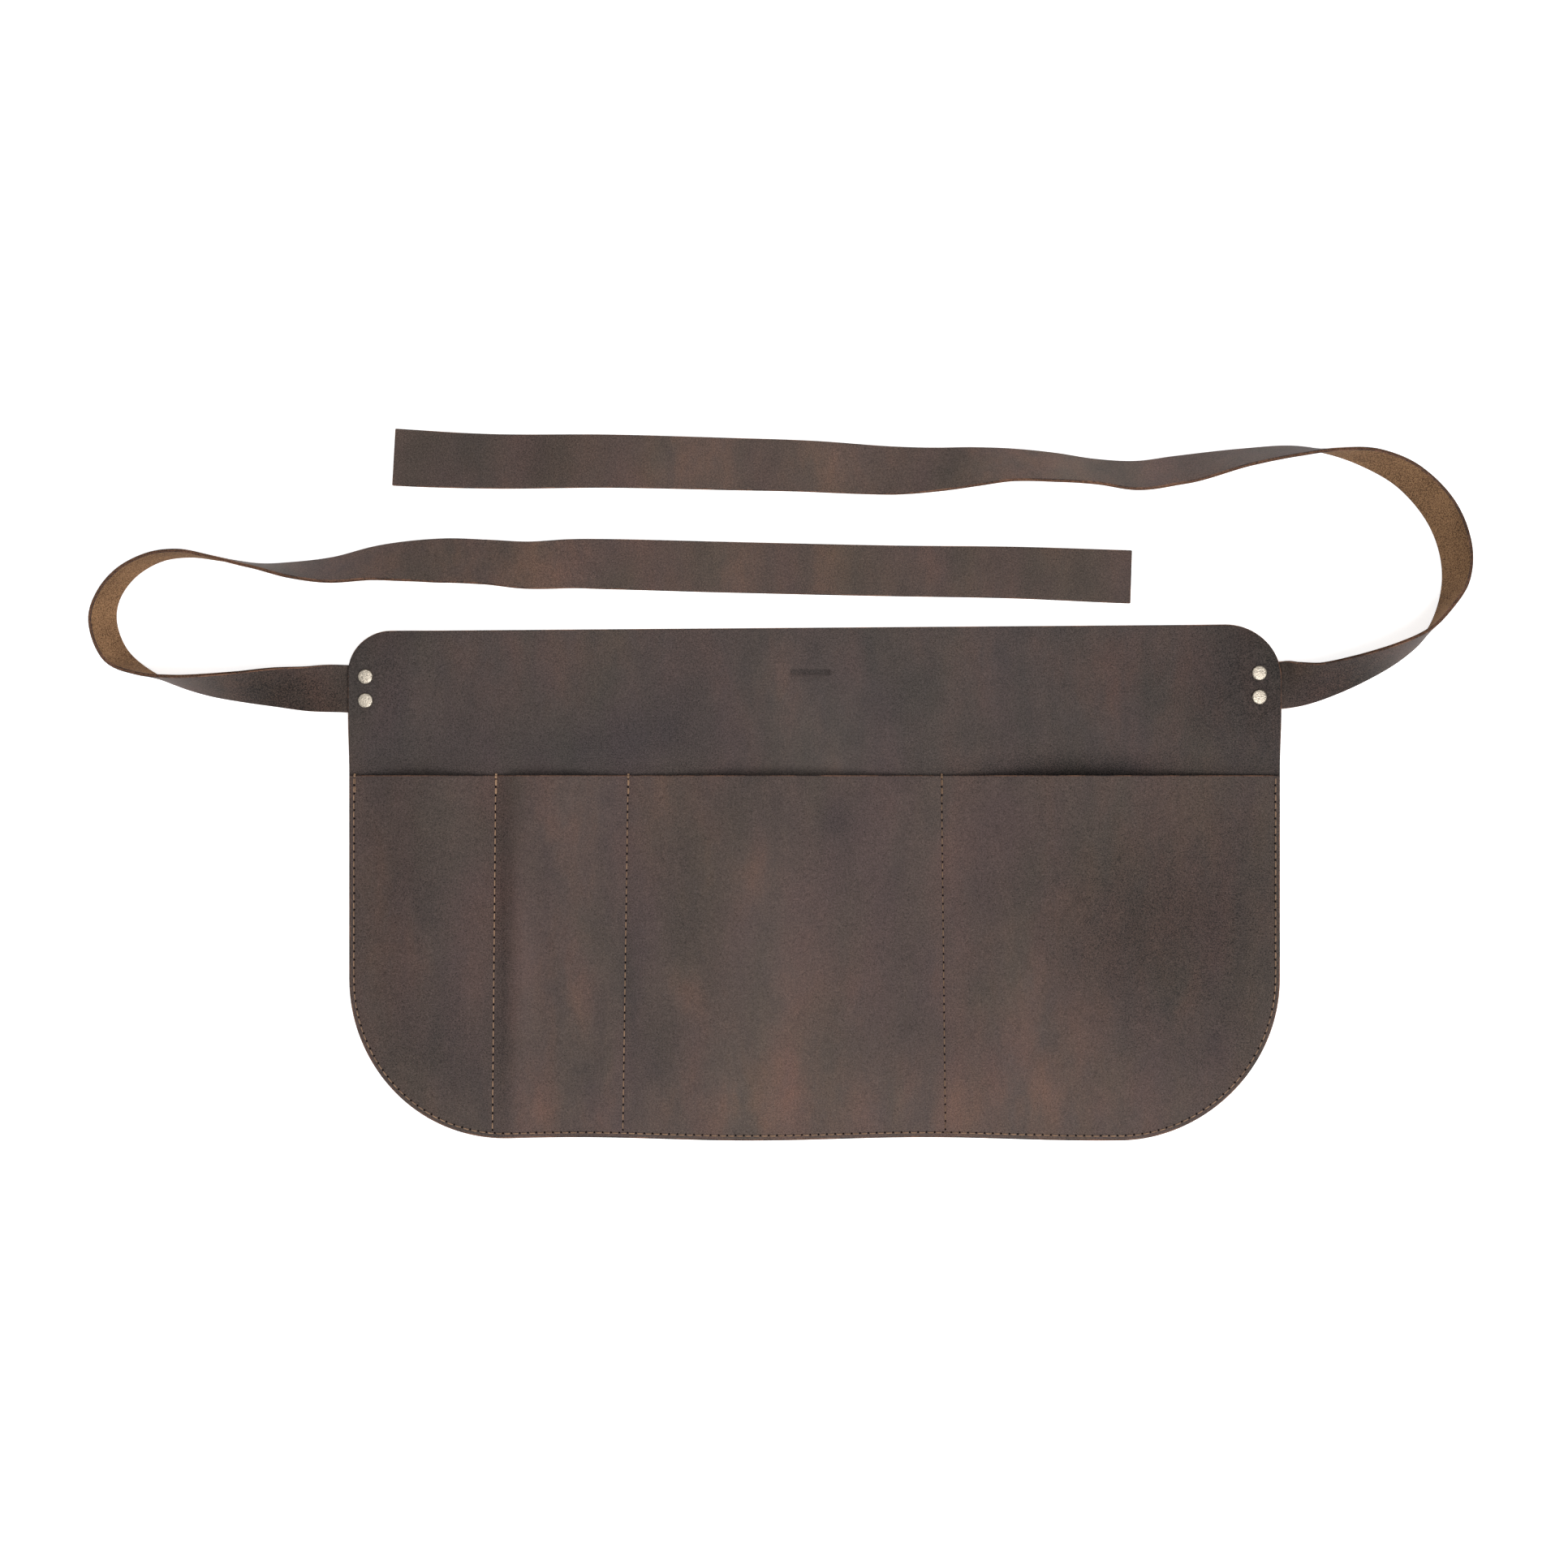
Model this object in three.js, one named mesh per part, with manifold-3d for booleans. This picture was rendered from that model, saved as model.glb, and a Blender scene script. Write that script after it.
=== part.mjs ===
// Leather waist apron with four pockets and two waist ties, lying face up on a flat surface.
// Millimetres, +Z up, +X to the right of the face, +Y towards the waist edge.
// The pattern is drawn from the middle of the waist edge, and the whole is then centred on its footprint.

import * as THREE from 'three';
import { mergeVertices } from 'three/addons/utils/BufferGeometryUtils.js';
import Module from 'manifold-3d';

// Main panel
const BODY_WIDTH = 608;
const BODY_DROP = 334;
const BODY_LEATHER = 2;
const WAIST_RISE = 4.6;
const HEM_WAVE = 1.1;
const HEM_WAVE_LENGTH = 228;
const HEM_WAVE_START = -42;
const CORNERS = {
  left: { waist: 27.5, hem: 105 },
  right: { waist: 36, hem: 104 },
};

// Pocket panel
const MOUTH_DROP = 96.5;
const POCKET_LEATHER = 2;
const POCKET_SETBACK = 0.8;
const POCKET_PUFF = 10;
const STITCH_MARGIN = 3;

// Waist ties
const STRAP_LEATHER = 2.2;
const STRAP_WIDTH = 31;
const STRAP_TUCK = 28;
const WAIST_CLEARANCE = 15.8;
const TIE_SPACING = 42.3;

// Rivets
const CAP_RADIUS = 4.75;
const CAP_RIM = 0.7;
const CAP_DOME = 1;
const BACK_CAP_RADIUS = 4.5;
const BACK_CAP_HEIGHT = 1.3;
const POST_RADIUS = 1.7;
const HOLE_CLEARANCE = 0.3;
const RIVET_PITCH = 15.6;
const RIVET_SIDES = 20;

// Gap kept between pieces that touch
const LAYER_GAP = 0.3;

// How far the leather takes to settle from a tucked tie end to the table, and how far it stays level first
const SETTLE_LENGTH = 36;
const LEVEL_MARGIN = 3;

// Height of each layer over the table at the rivets
const STRAP_SEAT = BACK_CAP_HEIGHT + LAYER_GAP;
const BODY_SEAT = STRAP_SEAT + STRAP_LEATHER + LAYER_GAP;
const CAP_SEAT = BODY_SEAT + BODY_LEATHER + LAYER_GAP;

// Seams between the pockets: place at the mouth and sideways lean at the hem, in shares of the body's width
const SEAMS = [
  { at: 0.158, lean: -0.0035 },
  { at: 0.3, lean: -0.0057 },
  { at: 0.636, lean: 0.0043 },
];

// Pockets from left to right: puff in shares of the full puff, crest in shares of the pocket's width,
// columns of the grid away from the round corners
const POCKETS = [
  { puff: 0.75, crest: 0.5, columns: 0 },
  { puff: 0.75, crest: 0.42, columns: 8 },
  { puff: 0.85, crest: 0.5, columns: 10 },
  { puff: 1, crest: 0.42, columns: 7 },
];

// Ties. The lower edge lies on the table and the upper edge, nearer the waist, rolls up and over in the loop.
// out: past the body's side, in shares of the reach. back: along the free run, in shares of its length.
// up: towards the free end's line, in shares of the rise. roll: degrees. wide: in shares of the tie's width.
const RIGHT_TIE = {
  side: 1,
  drop: 40,
  rivetInset: 14.6,
  reach: 106.8,
  run: 610.4,
  endWidth: 37.2,
  stations: [
    { out: 0.05, back: 0, up: 0.003, roll: 4, wide: 1 },
    { out: 0.142, back: 0, up: 0.014, roll: 24, wide: 1 },
    { out: 0.279, back: 0, up: 0.04, roll: 42, wide: 1 },
    { out: 0.508, back: 0, up: 0.099, roll: 55, wide: 1 },
    { out: 0.736, back: 0, up: 0.178, roll: 68, wide: 1 },
    { out: 0.878, back: 0, up: 0.254, roll: 79, wide: 1 },
    { out: 0.959, back: 0, up: 0.34, roll: 89, wide: 1 },
    { out: 1, back: 0, up: 0.455, roll: 105, wide: 1 },
    { out: 0.98, back: 0, up: 0.564, roll: 112, wide: 1 },
    { out: 0.898, back: 0, up: 0.677, roll: 114, wide: 1 },
    { out: 0.726, back: 0, up: 0.794, roll: 110, wide: 1 },
    { out: 0.523, back: 0, up: 0.866, roll: 102, wide: 1 },
    { out: 0.305, back: 0, up: 0.914, roll: 86, wide: 1 },
    { out: 0.305, back: 0.039, up: 0.935, roll: 73, wide: 1 },
    { out: 0.305, back: 0.095, up: 0.925, roll: 64, wide: 1 },
    { out: 0.305, back: 0.165, up: 0.9, roll: 49, wide: 1 },
    { out: 0.305, back: 0.208, up: 0.882, roll: 48, wide: 1.01 },
    { out: 0.305, back: 0.251, up: 0.889, roll: 53, wide: 1.01 },
    { out: 0.305, back: 0.294, up: 0.911, roll: 48, wide: 1.02 },
    { out: 0.305, back: 0.338, up: 0.926, roll: 43, wide: 1.02 },
    { out: 0.305, back: 0.381, up: 0.932, roll: 32, wide: 1.03 },
    { out: 0.305, back: 0.424, up: 0.931, roll: 22, wide: 1.04 },
    { out: 0.305, back: 0.468, up: 0.936, roll: 10, wide: 1.05 },
    { out: 0.305, back: 0.554, up: 0.957, roll: 0, wide: 1.08 },
    { out: 0.305, back: 0.641, up: 0.967, roll: 0, wide: 1.1 },
    { out: 0.305, back: 0.771, up: 0.979, roll: 0, wide: 1.12 },
    { out: 0.305, back: 0.9, up: 0.981, roll: 0, wide: 1.15 },
  ],
};
const LEFT_TIE = {
  side: -1,
  drop: 37.7,
  rivetInset: 11.6,
  reach: 152.7,
  run: 548,
  endWidth: 34.7,
  stations: [
    { out: 0.04, back: 0, up: 0.002, roll: 3, wide: 1 },
    { out: 0.169, back: 0, up: 0.01, roll: 22, wide: 1 },
    { out: 0.311, back: 0, up: 0.039, roll: 38, wide: 1 },
    { out: 0.453, back: 0, up: 0.07, roll: 54, wide: 1 },
    { out: 0.596, back: 0, up: 0.109, roll: 67, wide: 1 },
    { out: 0.72, back: 0, up: 0.164, roll: 80, wide: 1 },
    { out: 0.845, back: 0, up: 0.246, roll: 94, wide: 1 },
    { out: 0.952, back: 0, up: 0.38, roll: 107, wide: 1 },
    { out: 1, back: 0, up: 0.552, roll: 105, wide: 1 },
    { out: 0.99, back: 0, up: 0.694, roll: 99, wide: 1 },
    { out: 0.922, back: 0, up: 0.838, roll: 95, wide: 1 },
    { out: 0.809, back: 0, up: 0.938, roll: 92, wide: 1 },
    { out: 0.685, back: 0, up: 0.966, roll: 91, wide: 1 },
    { out: 0.543, back: 0, up: 0.943, roll: 88, wide: 1 },
    { out: 0.383, back: 0, up: 0.912, roll: 83, wide: 1 },
    { out: 0.24, back: 0, up: 0.922, roll: 69, wide: 1 },
    { out: 0.24, back: 0.048, up: 0.954, roll: 54, wide: 1 },
    { out: 0.24, back: 0.096, up: 1.02, roll: 42, wide: 1.02 },
    { out: 0.24, back: 0.135, up: 1.053, roll: 31, wide: 1.02 },
    { out: 0.24, back: 0.183, up: 1.072, roll: 22, wide: 1.03 },
    { out: 0.24, back: 0.232, up: 1.064, roll: 21, wide: 1.03 },
    { out: 0.24, back: 0.28, up: 1.053, roll: 14, wide: 1.04 },
    { out: 0.24, back: 0.329, up: 1.069, roll: 3, wide: 1.04 },
    { out: 0.24, back: 0.377, up: 1.07, roll: 0, wide: 1.06 },
    { out: 0.24, back: 0.523, up: 1.052, roll: 0, wide: 1.07 },
    { out: 0.24, back: 0.716, up: 1.03, roll: 0, wide: 1.07 },
    { out: 0.24, back: 0.862, up: 1.022, roll: 0, wide: 1.09 },
  ],
};

// Fineness of the surfaces: sections along a tie, steps round each corner, rows from waist or mouth to hem
const SECTION_STEP = 8;
const HEM_ANGLE_STEPS = 9;
const WAIST_ANGLE_STEPS = 5;
const DOME_ANGLE_STEPS = 3;
const CLOSEST_COLUMNS = 0.9;
const BODY_MIDDLE_COLUMNS = 10;
const BODY_ROWS = [0, 0.035, 0.07, 0.1, 0.13, 0.16, 0.19, 0.22, 0.26, 0.3, 0.36, 0.5, 0.75, 1];
const POCKET_ROWS = 13;

const wasm = await Module();
wasm.setup();

function material(name, color, roughness, metalness) {
  return new THREE.MeshStandardMaterial({ name, color, roughness, metalness, flatShading: true });
}

const BODY_MATERIAL = material('waxed_leather', 0x4b423d, 0.6, 0);
const POCKET_MATERIAL = material('waxed_leather_warm', 0x564943, 0.6, 0);
const STRAP_MATERIAL = material('strap_leather', 0x50453f, 0.6, 0);
const RIVET_MATERIAL = material('nickel', 0xc9c5bc, 0.3, 1);

function geometryFrom(positions, triangles) {
  const geometry = new THREE.BufferGeometry();
  geometry.setAttribute('position', new THREE.Float32BufferAttribute(positions, 3));
  geometry.setIndex(triangles);
  return geometry;
}

function solidFrom(geometry) {
  const bare = geometry.clone();
  bare.deleteAttribute('normal');
  bare.deleteAttribute('uv');
  const merged = mergeVertices(bare);
  const mesh = new wasm.Mesh({
    numProp: 3,
    vertProperties: new Float32Array(merged.getAttribute('position').array),
    triVerts: new Uint32Array(merged.getIndex().array),
  });
  return new wasm.Manifold(mesh);
}

function withHoles(geometry, centres, height) {
  const drill = new THREE.CylinderGeometry(
    POST_RADIUS + HOLE_CLEARANCE, POST_RADIUS + HOLE_CLEARANCE, height, RIVET_SIDES,
  );
  drill.rotateX(Math.PI / 2);
  let solid = solidFrom(geometry);
  for (const [x, y] of centres) {
    solid = solid.subtract(solidFrom(drill.clone().translate(x, y, height / 2 - LAYER_GAP)));
  }
  const result = solid.getMesh();
  return geometryFrom(result.vertProperties, Array.from(result.triVerts));
}

function smoothStep(value) {
  const t = THREE.MathUtils.clamp(value, 0, 1);
  return t * t * (3 - 2 * t);
}

// Cubic through evenly numbered values that never swings past its neighbours
function smoothValue(values, place) {
  const last = values.length - 1;
  const slopeAt = (index) => {
    if (index <= 0 || index >= last) {
      return 0;
    }
    const before = values[index] - values[index - 1];
    const after = values[index + 1] - values[index];
    return before * after > 0 ? (2 * before * after) / (before + after) : 0;
  };
  const index = Math.min(Math.floor(place), last - 1);
  const t = place - index;
  const start = (1 + 2 * t) * (1 - t) ** 2 * values[index] + t * (1 - t) ** 2 * slopeAt(index);
  const end = t ** 2 * (3 - 2 * t) * values[index + 1] - t ** 2 * (1 - t) * slopeAt(index + 1);
  return start + end;
}

// Distance that a round corner cuts off a straight edge, at a distance in from the side
function cornerCut(radius, distance) {
  const rest = Math.max(radius - distance, 0);
  return radius - Math.sqrt(radius ** 2 - rest ** 2);
}

// Distances in from the side at which equal steps of a round corner fall
function cornerSteps(radius, count) {
  return Array.from({ length: count + 1 }, (_, k) => radius * (1 - Math.cos((k / count) * (Math.PI / 2))));
}

function outline(setback) {
  const half = BODY_WIDTH / 2 - setback;
  const reachIn = (x) => (x < 0 ? [CORNERS.left, x + half] : [CORNERS.right, half - x]);
  return {
    half,
    waistY(x) {
      const [corner, distance] = reachIn(x);
      return (WAIST_RISE * x) / BODY_WIDTH - cornerCut(corner.waist, distance);
    },
    hemY(x) {
      const [corner, distance] = reachIn(x);
      const wave = HEM_WAVE * Math.cos((2 * Math.PI * (x - HEM_WAVE_START)) / HEM_WAVE_LENGTH);
      return setback - BODY_DROP - wave + cornerCut(corner.hem - setback, distance);
    },
  };
}

// Places of the grid's columns near one side, closer together round the corners
function sideColumns(radii, limit) {
  const steps = radii.flatMap(([radius, count]) => cornerSteps(radius, count));
  const sorted = steps.filter((step) => step < limit).sort((a, b) => a - b);
  return sorted.filter((step, k) => k === 0 || step - sorted[k - 1] > CLOSEST_COLUMNS);
}

function evenly(from, to, count) {
  return Array.from({ length: count }, (_, k) => from + ((to - from) * k) / count);
}

// Closed sheet over a grid: place gives a column's x and y at a row, underside its height there
function sheet(columns, rows, thickness, place, underside) {
  const positions = [];
  for (const column of columns) {
    for (const row of rows) {
      const [x, y] = place(column, row);
      const low = underside(x, y, row);
      positions.push(x, y, low, x, y, low + thickness);
    }
  }
  const low = (i, j) => 2 * (i * rows.length + j);
  const high = (i, j) => low(i, j) + 1;
  const triangles = [];
  const quad = (a, b, c, d) => triangles.push(a, b, c, a, c, d);
  const lastColumn = columns.length - 1;
  const lastRow = rows.length - 1;
  for (let i = 0; i < lastColumn; i += 1) {
    for (let j = 0; j < lastRow; j += 1) {
      quad(high(i, j), high(i, j + 1), high(i + 1, j + 1), high(i + 1, j));
      quad(low(i, j), low(i + 1, j), low(i + 1, j + 1), low(i, j + 1));
    }
    quad(high(i, 0), high(i + 1, 0), low(i + 1, 0), low(i, 0));
    quad(low(i, lastRow), low(i + 1, lastRow), high(i + 1, lastRow), high(i, lastRow));
  }
  for (let j = 0; j < lastRow; j += 1) {
    quad(low(0, j), low(0, j + 1), high(0, j + 1), high(0, j));
    quad(high(lastColumn, j), high(lastColumn, j + 1), low(lastColumn, j + 1), low(lastColumn, j));
  }
  return geometryFrom(positions, triangles);
}

// Line of a tie's middle where it is riveted under the body
function strapLineY(tie) {
  return (tie.side * WAIST_RISE) / 2 - tie.drop;
}

function rivetCentres(tie) {
  const x = tie.side * (BODY_WIDTH / 2 - tie.rivetInset);
  return [1, -1].map((upper) => [x, strapLineY(tie) + (upper * RIVET_PITCH) / 2]);
}

// The body rises over each tucked tie end and settles on the table round it
function bodyLift(x, y) {
  const tie = x < 0 ? LEFT_TIE : RIGHT_TIE;
  const inward = BODY_WIDTH / 2 - STRAP_TUCK - LEVEL_MARGIN - Math.abs(x);
  const along = Math.abs(y - strapLineY(tie)) - STRAP_WIDTH / 2 - LEVEL_MARGIN;
  const away = Math.hypot(Math.max(inward, 0), Math.max(along, 0));
  return BODY_SEAT * (1 - smoothStep(away / SETTLE_LENGTH));
}

function apronBody() {
  const edge = outline(0);
  const { left, right } = CORNERS;
  const stepsIn = ({ waist, hem }) => (
    sideColumns([[waist, WAIST_ANGLE_STEPS], [hem, HEM_ANGLE_STEPS]], edge.half)
  );
  const columns = [
    ...stepsIn(left).map((step) => step - edge.half),
    ...evenly(left.hem - edge.half, edge.half - right.hem, BODY_MIDDLE_COLUMNS).slice(1),
    ...stepsIn(right).map((step) => edge.half - step).reverse(),
  ];
  const place = (x, row) => [x, THREE.MathUtils.lerp(edge.waistY(x), edge.hemY(x), row)];
  const geometry = sheet(columns, BODY_ROWS, BODY_LEATHER, place, bodyLift);
  const drillHeight = CAP_SEAT + BODY_LEATHER;
  return withHoles(geometry, [...rivetCentres(LEFT_TIE), ...rivetCentres(RIGHT_TIE)], drillHeight);
}

// Height of a pocket's front over the body: nothing along its seams and hem, most at the mouth
function pocketLift(x, row, bounds, pocket) {
  const start = bounds[0] + STITCH_MARGIN;
  const end = bounds[1] - STITCH_MARGIN;
  const share = THREE.MathUtils.clamp((x - start) / (end - start), 0, 1);
  const warped = share ** (Math.log(0.5) / Math.log(pocket.crest));
  const across = Math.sin(Math.PI * warped) ** 2;
  const down = Math.cos((Math.PI / 2) * row);
  return POCKET_PUFF * pocket.puff * across * down;
}

function pocketPanel() {
  const edge = outline(POCKET_SETBACK);
  const seams = SEAMS.map((seam) => ({
    mouth: BODY_WIDTH * (seam.at - 0.5),
    hem: BODY_WIDTH * (seam.at - 0.5 + seam.lean),
  }));
  const bounds = [{ mouth: -edge.half, hem: -edge.half }, ...seams, { mouth: edge.half, hem: edge.half }];
  const last = POCKETS.length - 1;
  const leftWidth = seams[0].mouth + edge.half;
  const rightWidth = edge.half - seams[last - 1].mouth;
  const leftSteps = sideColumns([[CORNERS.left.hem - POCKET_SETBACK, HEM_ANGLE_STEPS]], leftWidth);
  const rightSteps = sideColumns([[CORNERS.right.hem - POCKET_SETBACK, HEM_ANGLE_STEPS]], rightWidth);
  const shares = POCKETS.map((pocket, k) => {
    const before = k === 0 ? leftSteps.map((step) => step / leftWidth) : [];
    const after = k === last ? rightSteps.map((step) => 1 - step / rightWidth).reverse() : [];
    return [...before, ...evenly(0, after.at(0) ?? 1, pocket.columns), ...after];
  });
  const columns = shares.flatMap((list, index) => list.map((share) => ({ index, share })));
  const boundAt = (index, row) => THREE.MathUtils.lerp(bounds[index].mouth, bounds[index].hem, row);
  const place = ({ index, share }, row) => {
    const x = THREE.MathUtils.lerp(boundAt(index, row), boundAt(index + 1, row), share);
    const hemX = THREE.MathUtils.lerp(bounds[index].hem, bounds[index + 1].hem, share);
    return [x, THREE.MathUtils.lerp(-MOUTH_DROP, edge.hemY(hemX), row)];
  };
  const underside = (x, y, row) => {
    const index = Math.max(POCKETS.findLastIndex((pocket, k) => x >= boundAt(k, row)), 0);
    const sides = [boundAt(index, row), boundAt(index + 1, row)];
    return BODY_LEATHER + LAYER_GAP + bodyLift(x, y) + pocketLift(x, row, sides, POCKETS[index]);
  };
  const rows = [...evenly(0, 1, POCKET_ROWS), 1];
  return sheet(columns, rows, POCKET_LEATHER, place, underside);
}

// The route of a tie's lower edge, its roll and its width at numbered stations
function tieStations(tie, rise) {
  const half = BODY_WIDTH / 2;
  const lowY = strapLineY(tie) - STRAP_WIDTH / 2;
  const tucked = [half - STRAP_TUCK, half - STRAP_TUCK / 2, half].map((x) => (
    { x: tie.side * x, y: lowY, roll: 0, width: STRAP_WIDTH }
  ));
  const route = tie.stations.map(({ out, back, up, roll, wide }) => ({
    x: tie.side * (half + out * tie.reach - back * tie.run),
    y: lowY + up * rise,
    roll: THREE.MathUtils.degToRad(roll),
    width: wide * STRAP_WIDTH,
  }));
  const freeEndX = tie.side * (half + tie.stations.at(-1).out * tie.reach - tie.run);
  return [...tucked, ...route, { x: freeEndX, y: lowY + rise, roll: 0, width: tie.endWidth }];
}

// A tucked tie end lies on the rivets' back caps, and the tie comes down to the table past the body's side
function strapLift(x, y, tie) {
  const outward = Math.abs(x) - BODY_WIDTH / 2;
  const along = Math.abs(y - strapLineY(tie)) - STRAP_WIDTH;
  const away = Math.hypot(Math.max(outward, 0), Math.max(along, 0));
  return STRAP_SEAT * (1 - smoothStep(away / SETTLE_LENGTH));
}

// Closed solid through a row of sections with as many corners each; mirrored turns its faces round
function band(sections, mirrored) {
  const corners = sections[0].length;
  const at = (section, corner) => section * corners + (corner % corners);
  const triangles = [];
  const triangle = (a, b, c) => triangles.push(...(mirrored ? [a, c, b] : [a, b, c]));
  const end = sections.length - 1;
  for (let k = 0; k < end; k += 1) {
    for (let corner = 0; corner < corners; corner += 1) {
      triangle(at(k, corner), at(k, corner + 1), at(k + 1, corner + 1));
      triangle(at(k, corner), at(k + 1, corner + 1), at(k + 1, corner));
    }
  }
  for (let corner = 1; corner < corners - 1; corner += 1) {
    triangle(at(0, 0), at(0, corner + 1), at(0, corner));
    triangle(at(end, 0), at(end, corner), at(end, corner + 1));
  }
  const positions = sections.flat().flatMap((point) => point.toArray());
  return geometryFrom(positions, triangles);
}

function strap(tie, rise) {
  const stations = tieStations(tie, rise);
  const points = stations.map(({ x, y }) => new THREE.Vector3(x, y, 0));
  const curve = new THREE.CatmullRomCurve3(points, false, 'centripetal');
  const last = stations.length - 1;
  const places = points.slice(1).flatMap((point, k) => (
    evenly(k, k + 1, Math.ceil(point.distanceTo(points[k]) / SECTION_STEP))
  ));
  const rolls = stations.map(({ roll }) => roll);
  const widths = stations.map(({ width }) => width);
  const up = new THREE.Vector3(0, 0, 1);
  const sections = [...places, last].map((place) => {
    const roll = smoothValue(rolls, place);
    const low = curve.getPoint(place / last);
    const along = curve.getTangent(place / last);
    const inward = new THREE.Vector3().crossVectors(up, along).multiplyScalar(tie.side);
    const across = inward.multiplyScalar(Math.cos(roll)).addScaledVector(up, Math.sin(roll));
    const grain = new THREE.Vector3().crossVectors(along, across).multiplyScalar(tie.side);
    low.z = strapLift(low.x, low.y, tie) + (STRAP_LEATHER / 2) * Math.abs(Math.cos(roll));
    const high = low.clone().addScaledVector(across, smoothValue(widths, place));
    const corners = [[low, -1], [high, -1], [high, 1], [low, 1]];
    return corners.map(([edge, face]) => edge.clone().addScaledVector(grain, (face * STRAP_LEATHER) / 2));
  });
  return withHoles(band(sections, tie.side < 0), rivetCentres(tie), BODY_SEAT + STRAP_LEATHER);
}

// Front cap, post and back cap as one turned solid
function rivet() {
  const domeSeat = CAP_SEAT + CAP_RIM;
  const dome = evenly(0, Math.PI / 2, DOME_ANGLE_STEPS).map((angle) => (
    [CAP_RADIUS * Math.cos(angle), domeSeat + CAP_DOME * Math.sin(angle)]
  ));
  const profile = [
    [0, 0],
    [BACK_CAP_RADIUS, 0],
    [BACK_CAP_RADIUS, BACK_CAP_HEIGHT],
    [POST_RADIUS, BACK_CAP_HEIGHT],
    [POST_RADIUS, CAP_SEAT],
    [CAP_RADIUS, CAP_SEAT],
    ...dome,
    [0, domeSeat + CAP_DOME],
  ];
  const turned = profile.map(([radius, height]) => new THREE.Vector2(radius, height));
  return new THREE.LatheGeometry(turned, RIVET_SIDES).rotateX(Math.PI / 2);
}

function named(name, geometry, material) {
  const mesh = new THREE.Mesh(geometry, material);
  mesh.name = name;
  return mesh;
}

// Rise of a tie's lower edge from the rivets to its free end
const leftEndY = WAIST_CLEARANCE + LEFT_TIE.endWidth;
const leftRise = leftEndY + STRAP_WIDTH / 2 - strapLineY(LEFT_TIE);
const rightEndY = leftEndY + TIE_SPACING + RIGHT_TIE.endWidth;
const rightRise = rightEndY + STRAP_WIDTH / 2 - strapLineY(RIGHT_TIE);

const apron = new THREE.Group();
apron.name = 'waist_apron';
apron.add(named('apron_body', apronBody(), BODY_MATERIAL));
apron.add(named('pocket_panel', pocketPanel(), POCKET_MATERIAL));
apron.add(named('strap_left', strap(LEFT_TIE, leftRise), STRAP_MATERIAL));
apron.add(named('strap_right', strap(RIGHT_TIE, rightRise), STRAP_MATERIAL));
for (const [sideName, tie] of [['left', LEFT_TIE], ['right', RIGHT_TIE]]) {
  rivetCentres(tie).forEach(([x, y], k) => {
    const mesh = named(`rivet_${sideName}_${['upper', 'lower'][k]}`, rivet(), RIVET_MATERIAL);
    mesh.position.set(x, y, 0);
    apron.add(mesh);
  });
}

const footprint = new THREE.Box3().setFromObject(apron).getCenter(new THREE.Vector3());
apron.position.set(-footprint.x, -footprint.y, 0);

export default apron;
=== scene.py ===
import math

import bpy
from mathutils import Matrix, Vector


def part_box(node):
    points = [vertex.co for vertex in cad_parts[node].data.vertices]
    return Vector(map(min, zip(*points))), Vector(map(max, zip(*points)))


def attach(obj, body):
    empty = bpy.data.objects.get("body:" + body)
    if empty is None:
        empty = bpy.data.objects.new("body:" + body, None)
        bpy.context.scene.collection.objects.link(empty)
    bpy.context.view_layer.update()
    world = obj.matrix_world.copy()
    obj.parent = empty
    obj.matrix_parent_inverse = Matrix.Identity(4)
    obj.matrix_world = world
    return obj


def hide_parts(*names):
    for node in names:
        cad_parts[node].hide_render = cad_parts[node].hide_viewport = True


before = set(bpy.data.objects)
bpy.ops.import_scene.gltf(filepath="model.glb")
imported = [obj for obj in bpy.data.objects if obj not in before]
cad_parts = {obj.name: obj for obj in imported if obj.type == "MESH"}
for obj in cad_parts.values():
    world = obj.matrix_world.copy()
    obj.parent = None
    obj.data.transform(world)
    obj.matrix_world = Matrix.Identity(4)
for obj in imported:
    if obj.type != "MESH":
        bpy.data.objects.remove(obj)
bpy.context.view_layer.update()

# Sizes are in millimetres, measured from the middle of the waist edge, as the leather was cut
MM = 0.001

BODY_WIDTH = 608
BODY_DROP = 334
BODY_LEATHER = 2
WAIST_RISE = 4.6
HEM_WAVE = 1.1
HEM_WAVE_LENGTH = 228
HEM_WAVE_START = -42
WAIST_CORNERS = (27.5, 36)
HEM_CORNERS = (105, 104)

MOUTH_DROP = 96.5
POCKET_LEATHER = 2
POCKET_SETBACK = 0.8
POCKET_PUFF = 10
STITCH_MARGIN = 3

STRAP_LEATHER = 2.2
STRAP_WIDTH = 31
STRAP_TUCK = 28
LEFT_END_Y = 50.5
RIGHT_END_Y = 130
RIVET_PITCH = 15.6

# Layers over the table: the gap between leathers, how high the ties, the body and the front caps
# are held at the rivets, and how far round a tuck the leather takes to settle
LAYER_GAP = 0.3
STRAP_SEAT = 1.6
BODY_SEAT = 4.1
CAP_SEAT = 6.4
SETTLE_LENGTH = 36
LEVEL_MARGIN = 3

# A rivet by radius and height: back cap and post from the table up, front cap from its seat up
RIVET_BACK = [(0, 0), (4.2, 0), (4.5, 0.3), (4.5, 1), (4.2, 1.3), (1.7, 1.3)]
RIVET_FRONT = [
    (1.7, 0), (4.5, 0), (4.72, 0.12), (4.75, 0.4), (4.7, 0.75), (4.55, 1.05), (4.25, 1.28),
    (3.7, 1.44), (2.9, 1.54), (2, 1.61), (1.1, 1.67), (0, 1.7),
]
RIVET_STEPS = 40

# Seams between the pockets: x at the mouth and at the hem
SEAMS = [(-207.9, -210.1), (-121.6, -125.1), (82.7, 85.3)]

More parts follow.
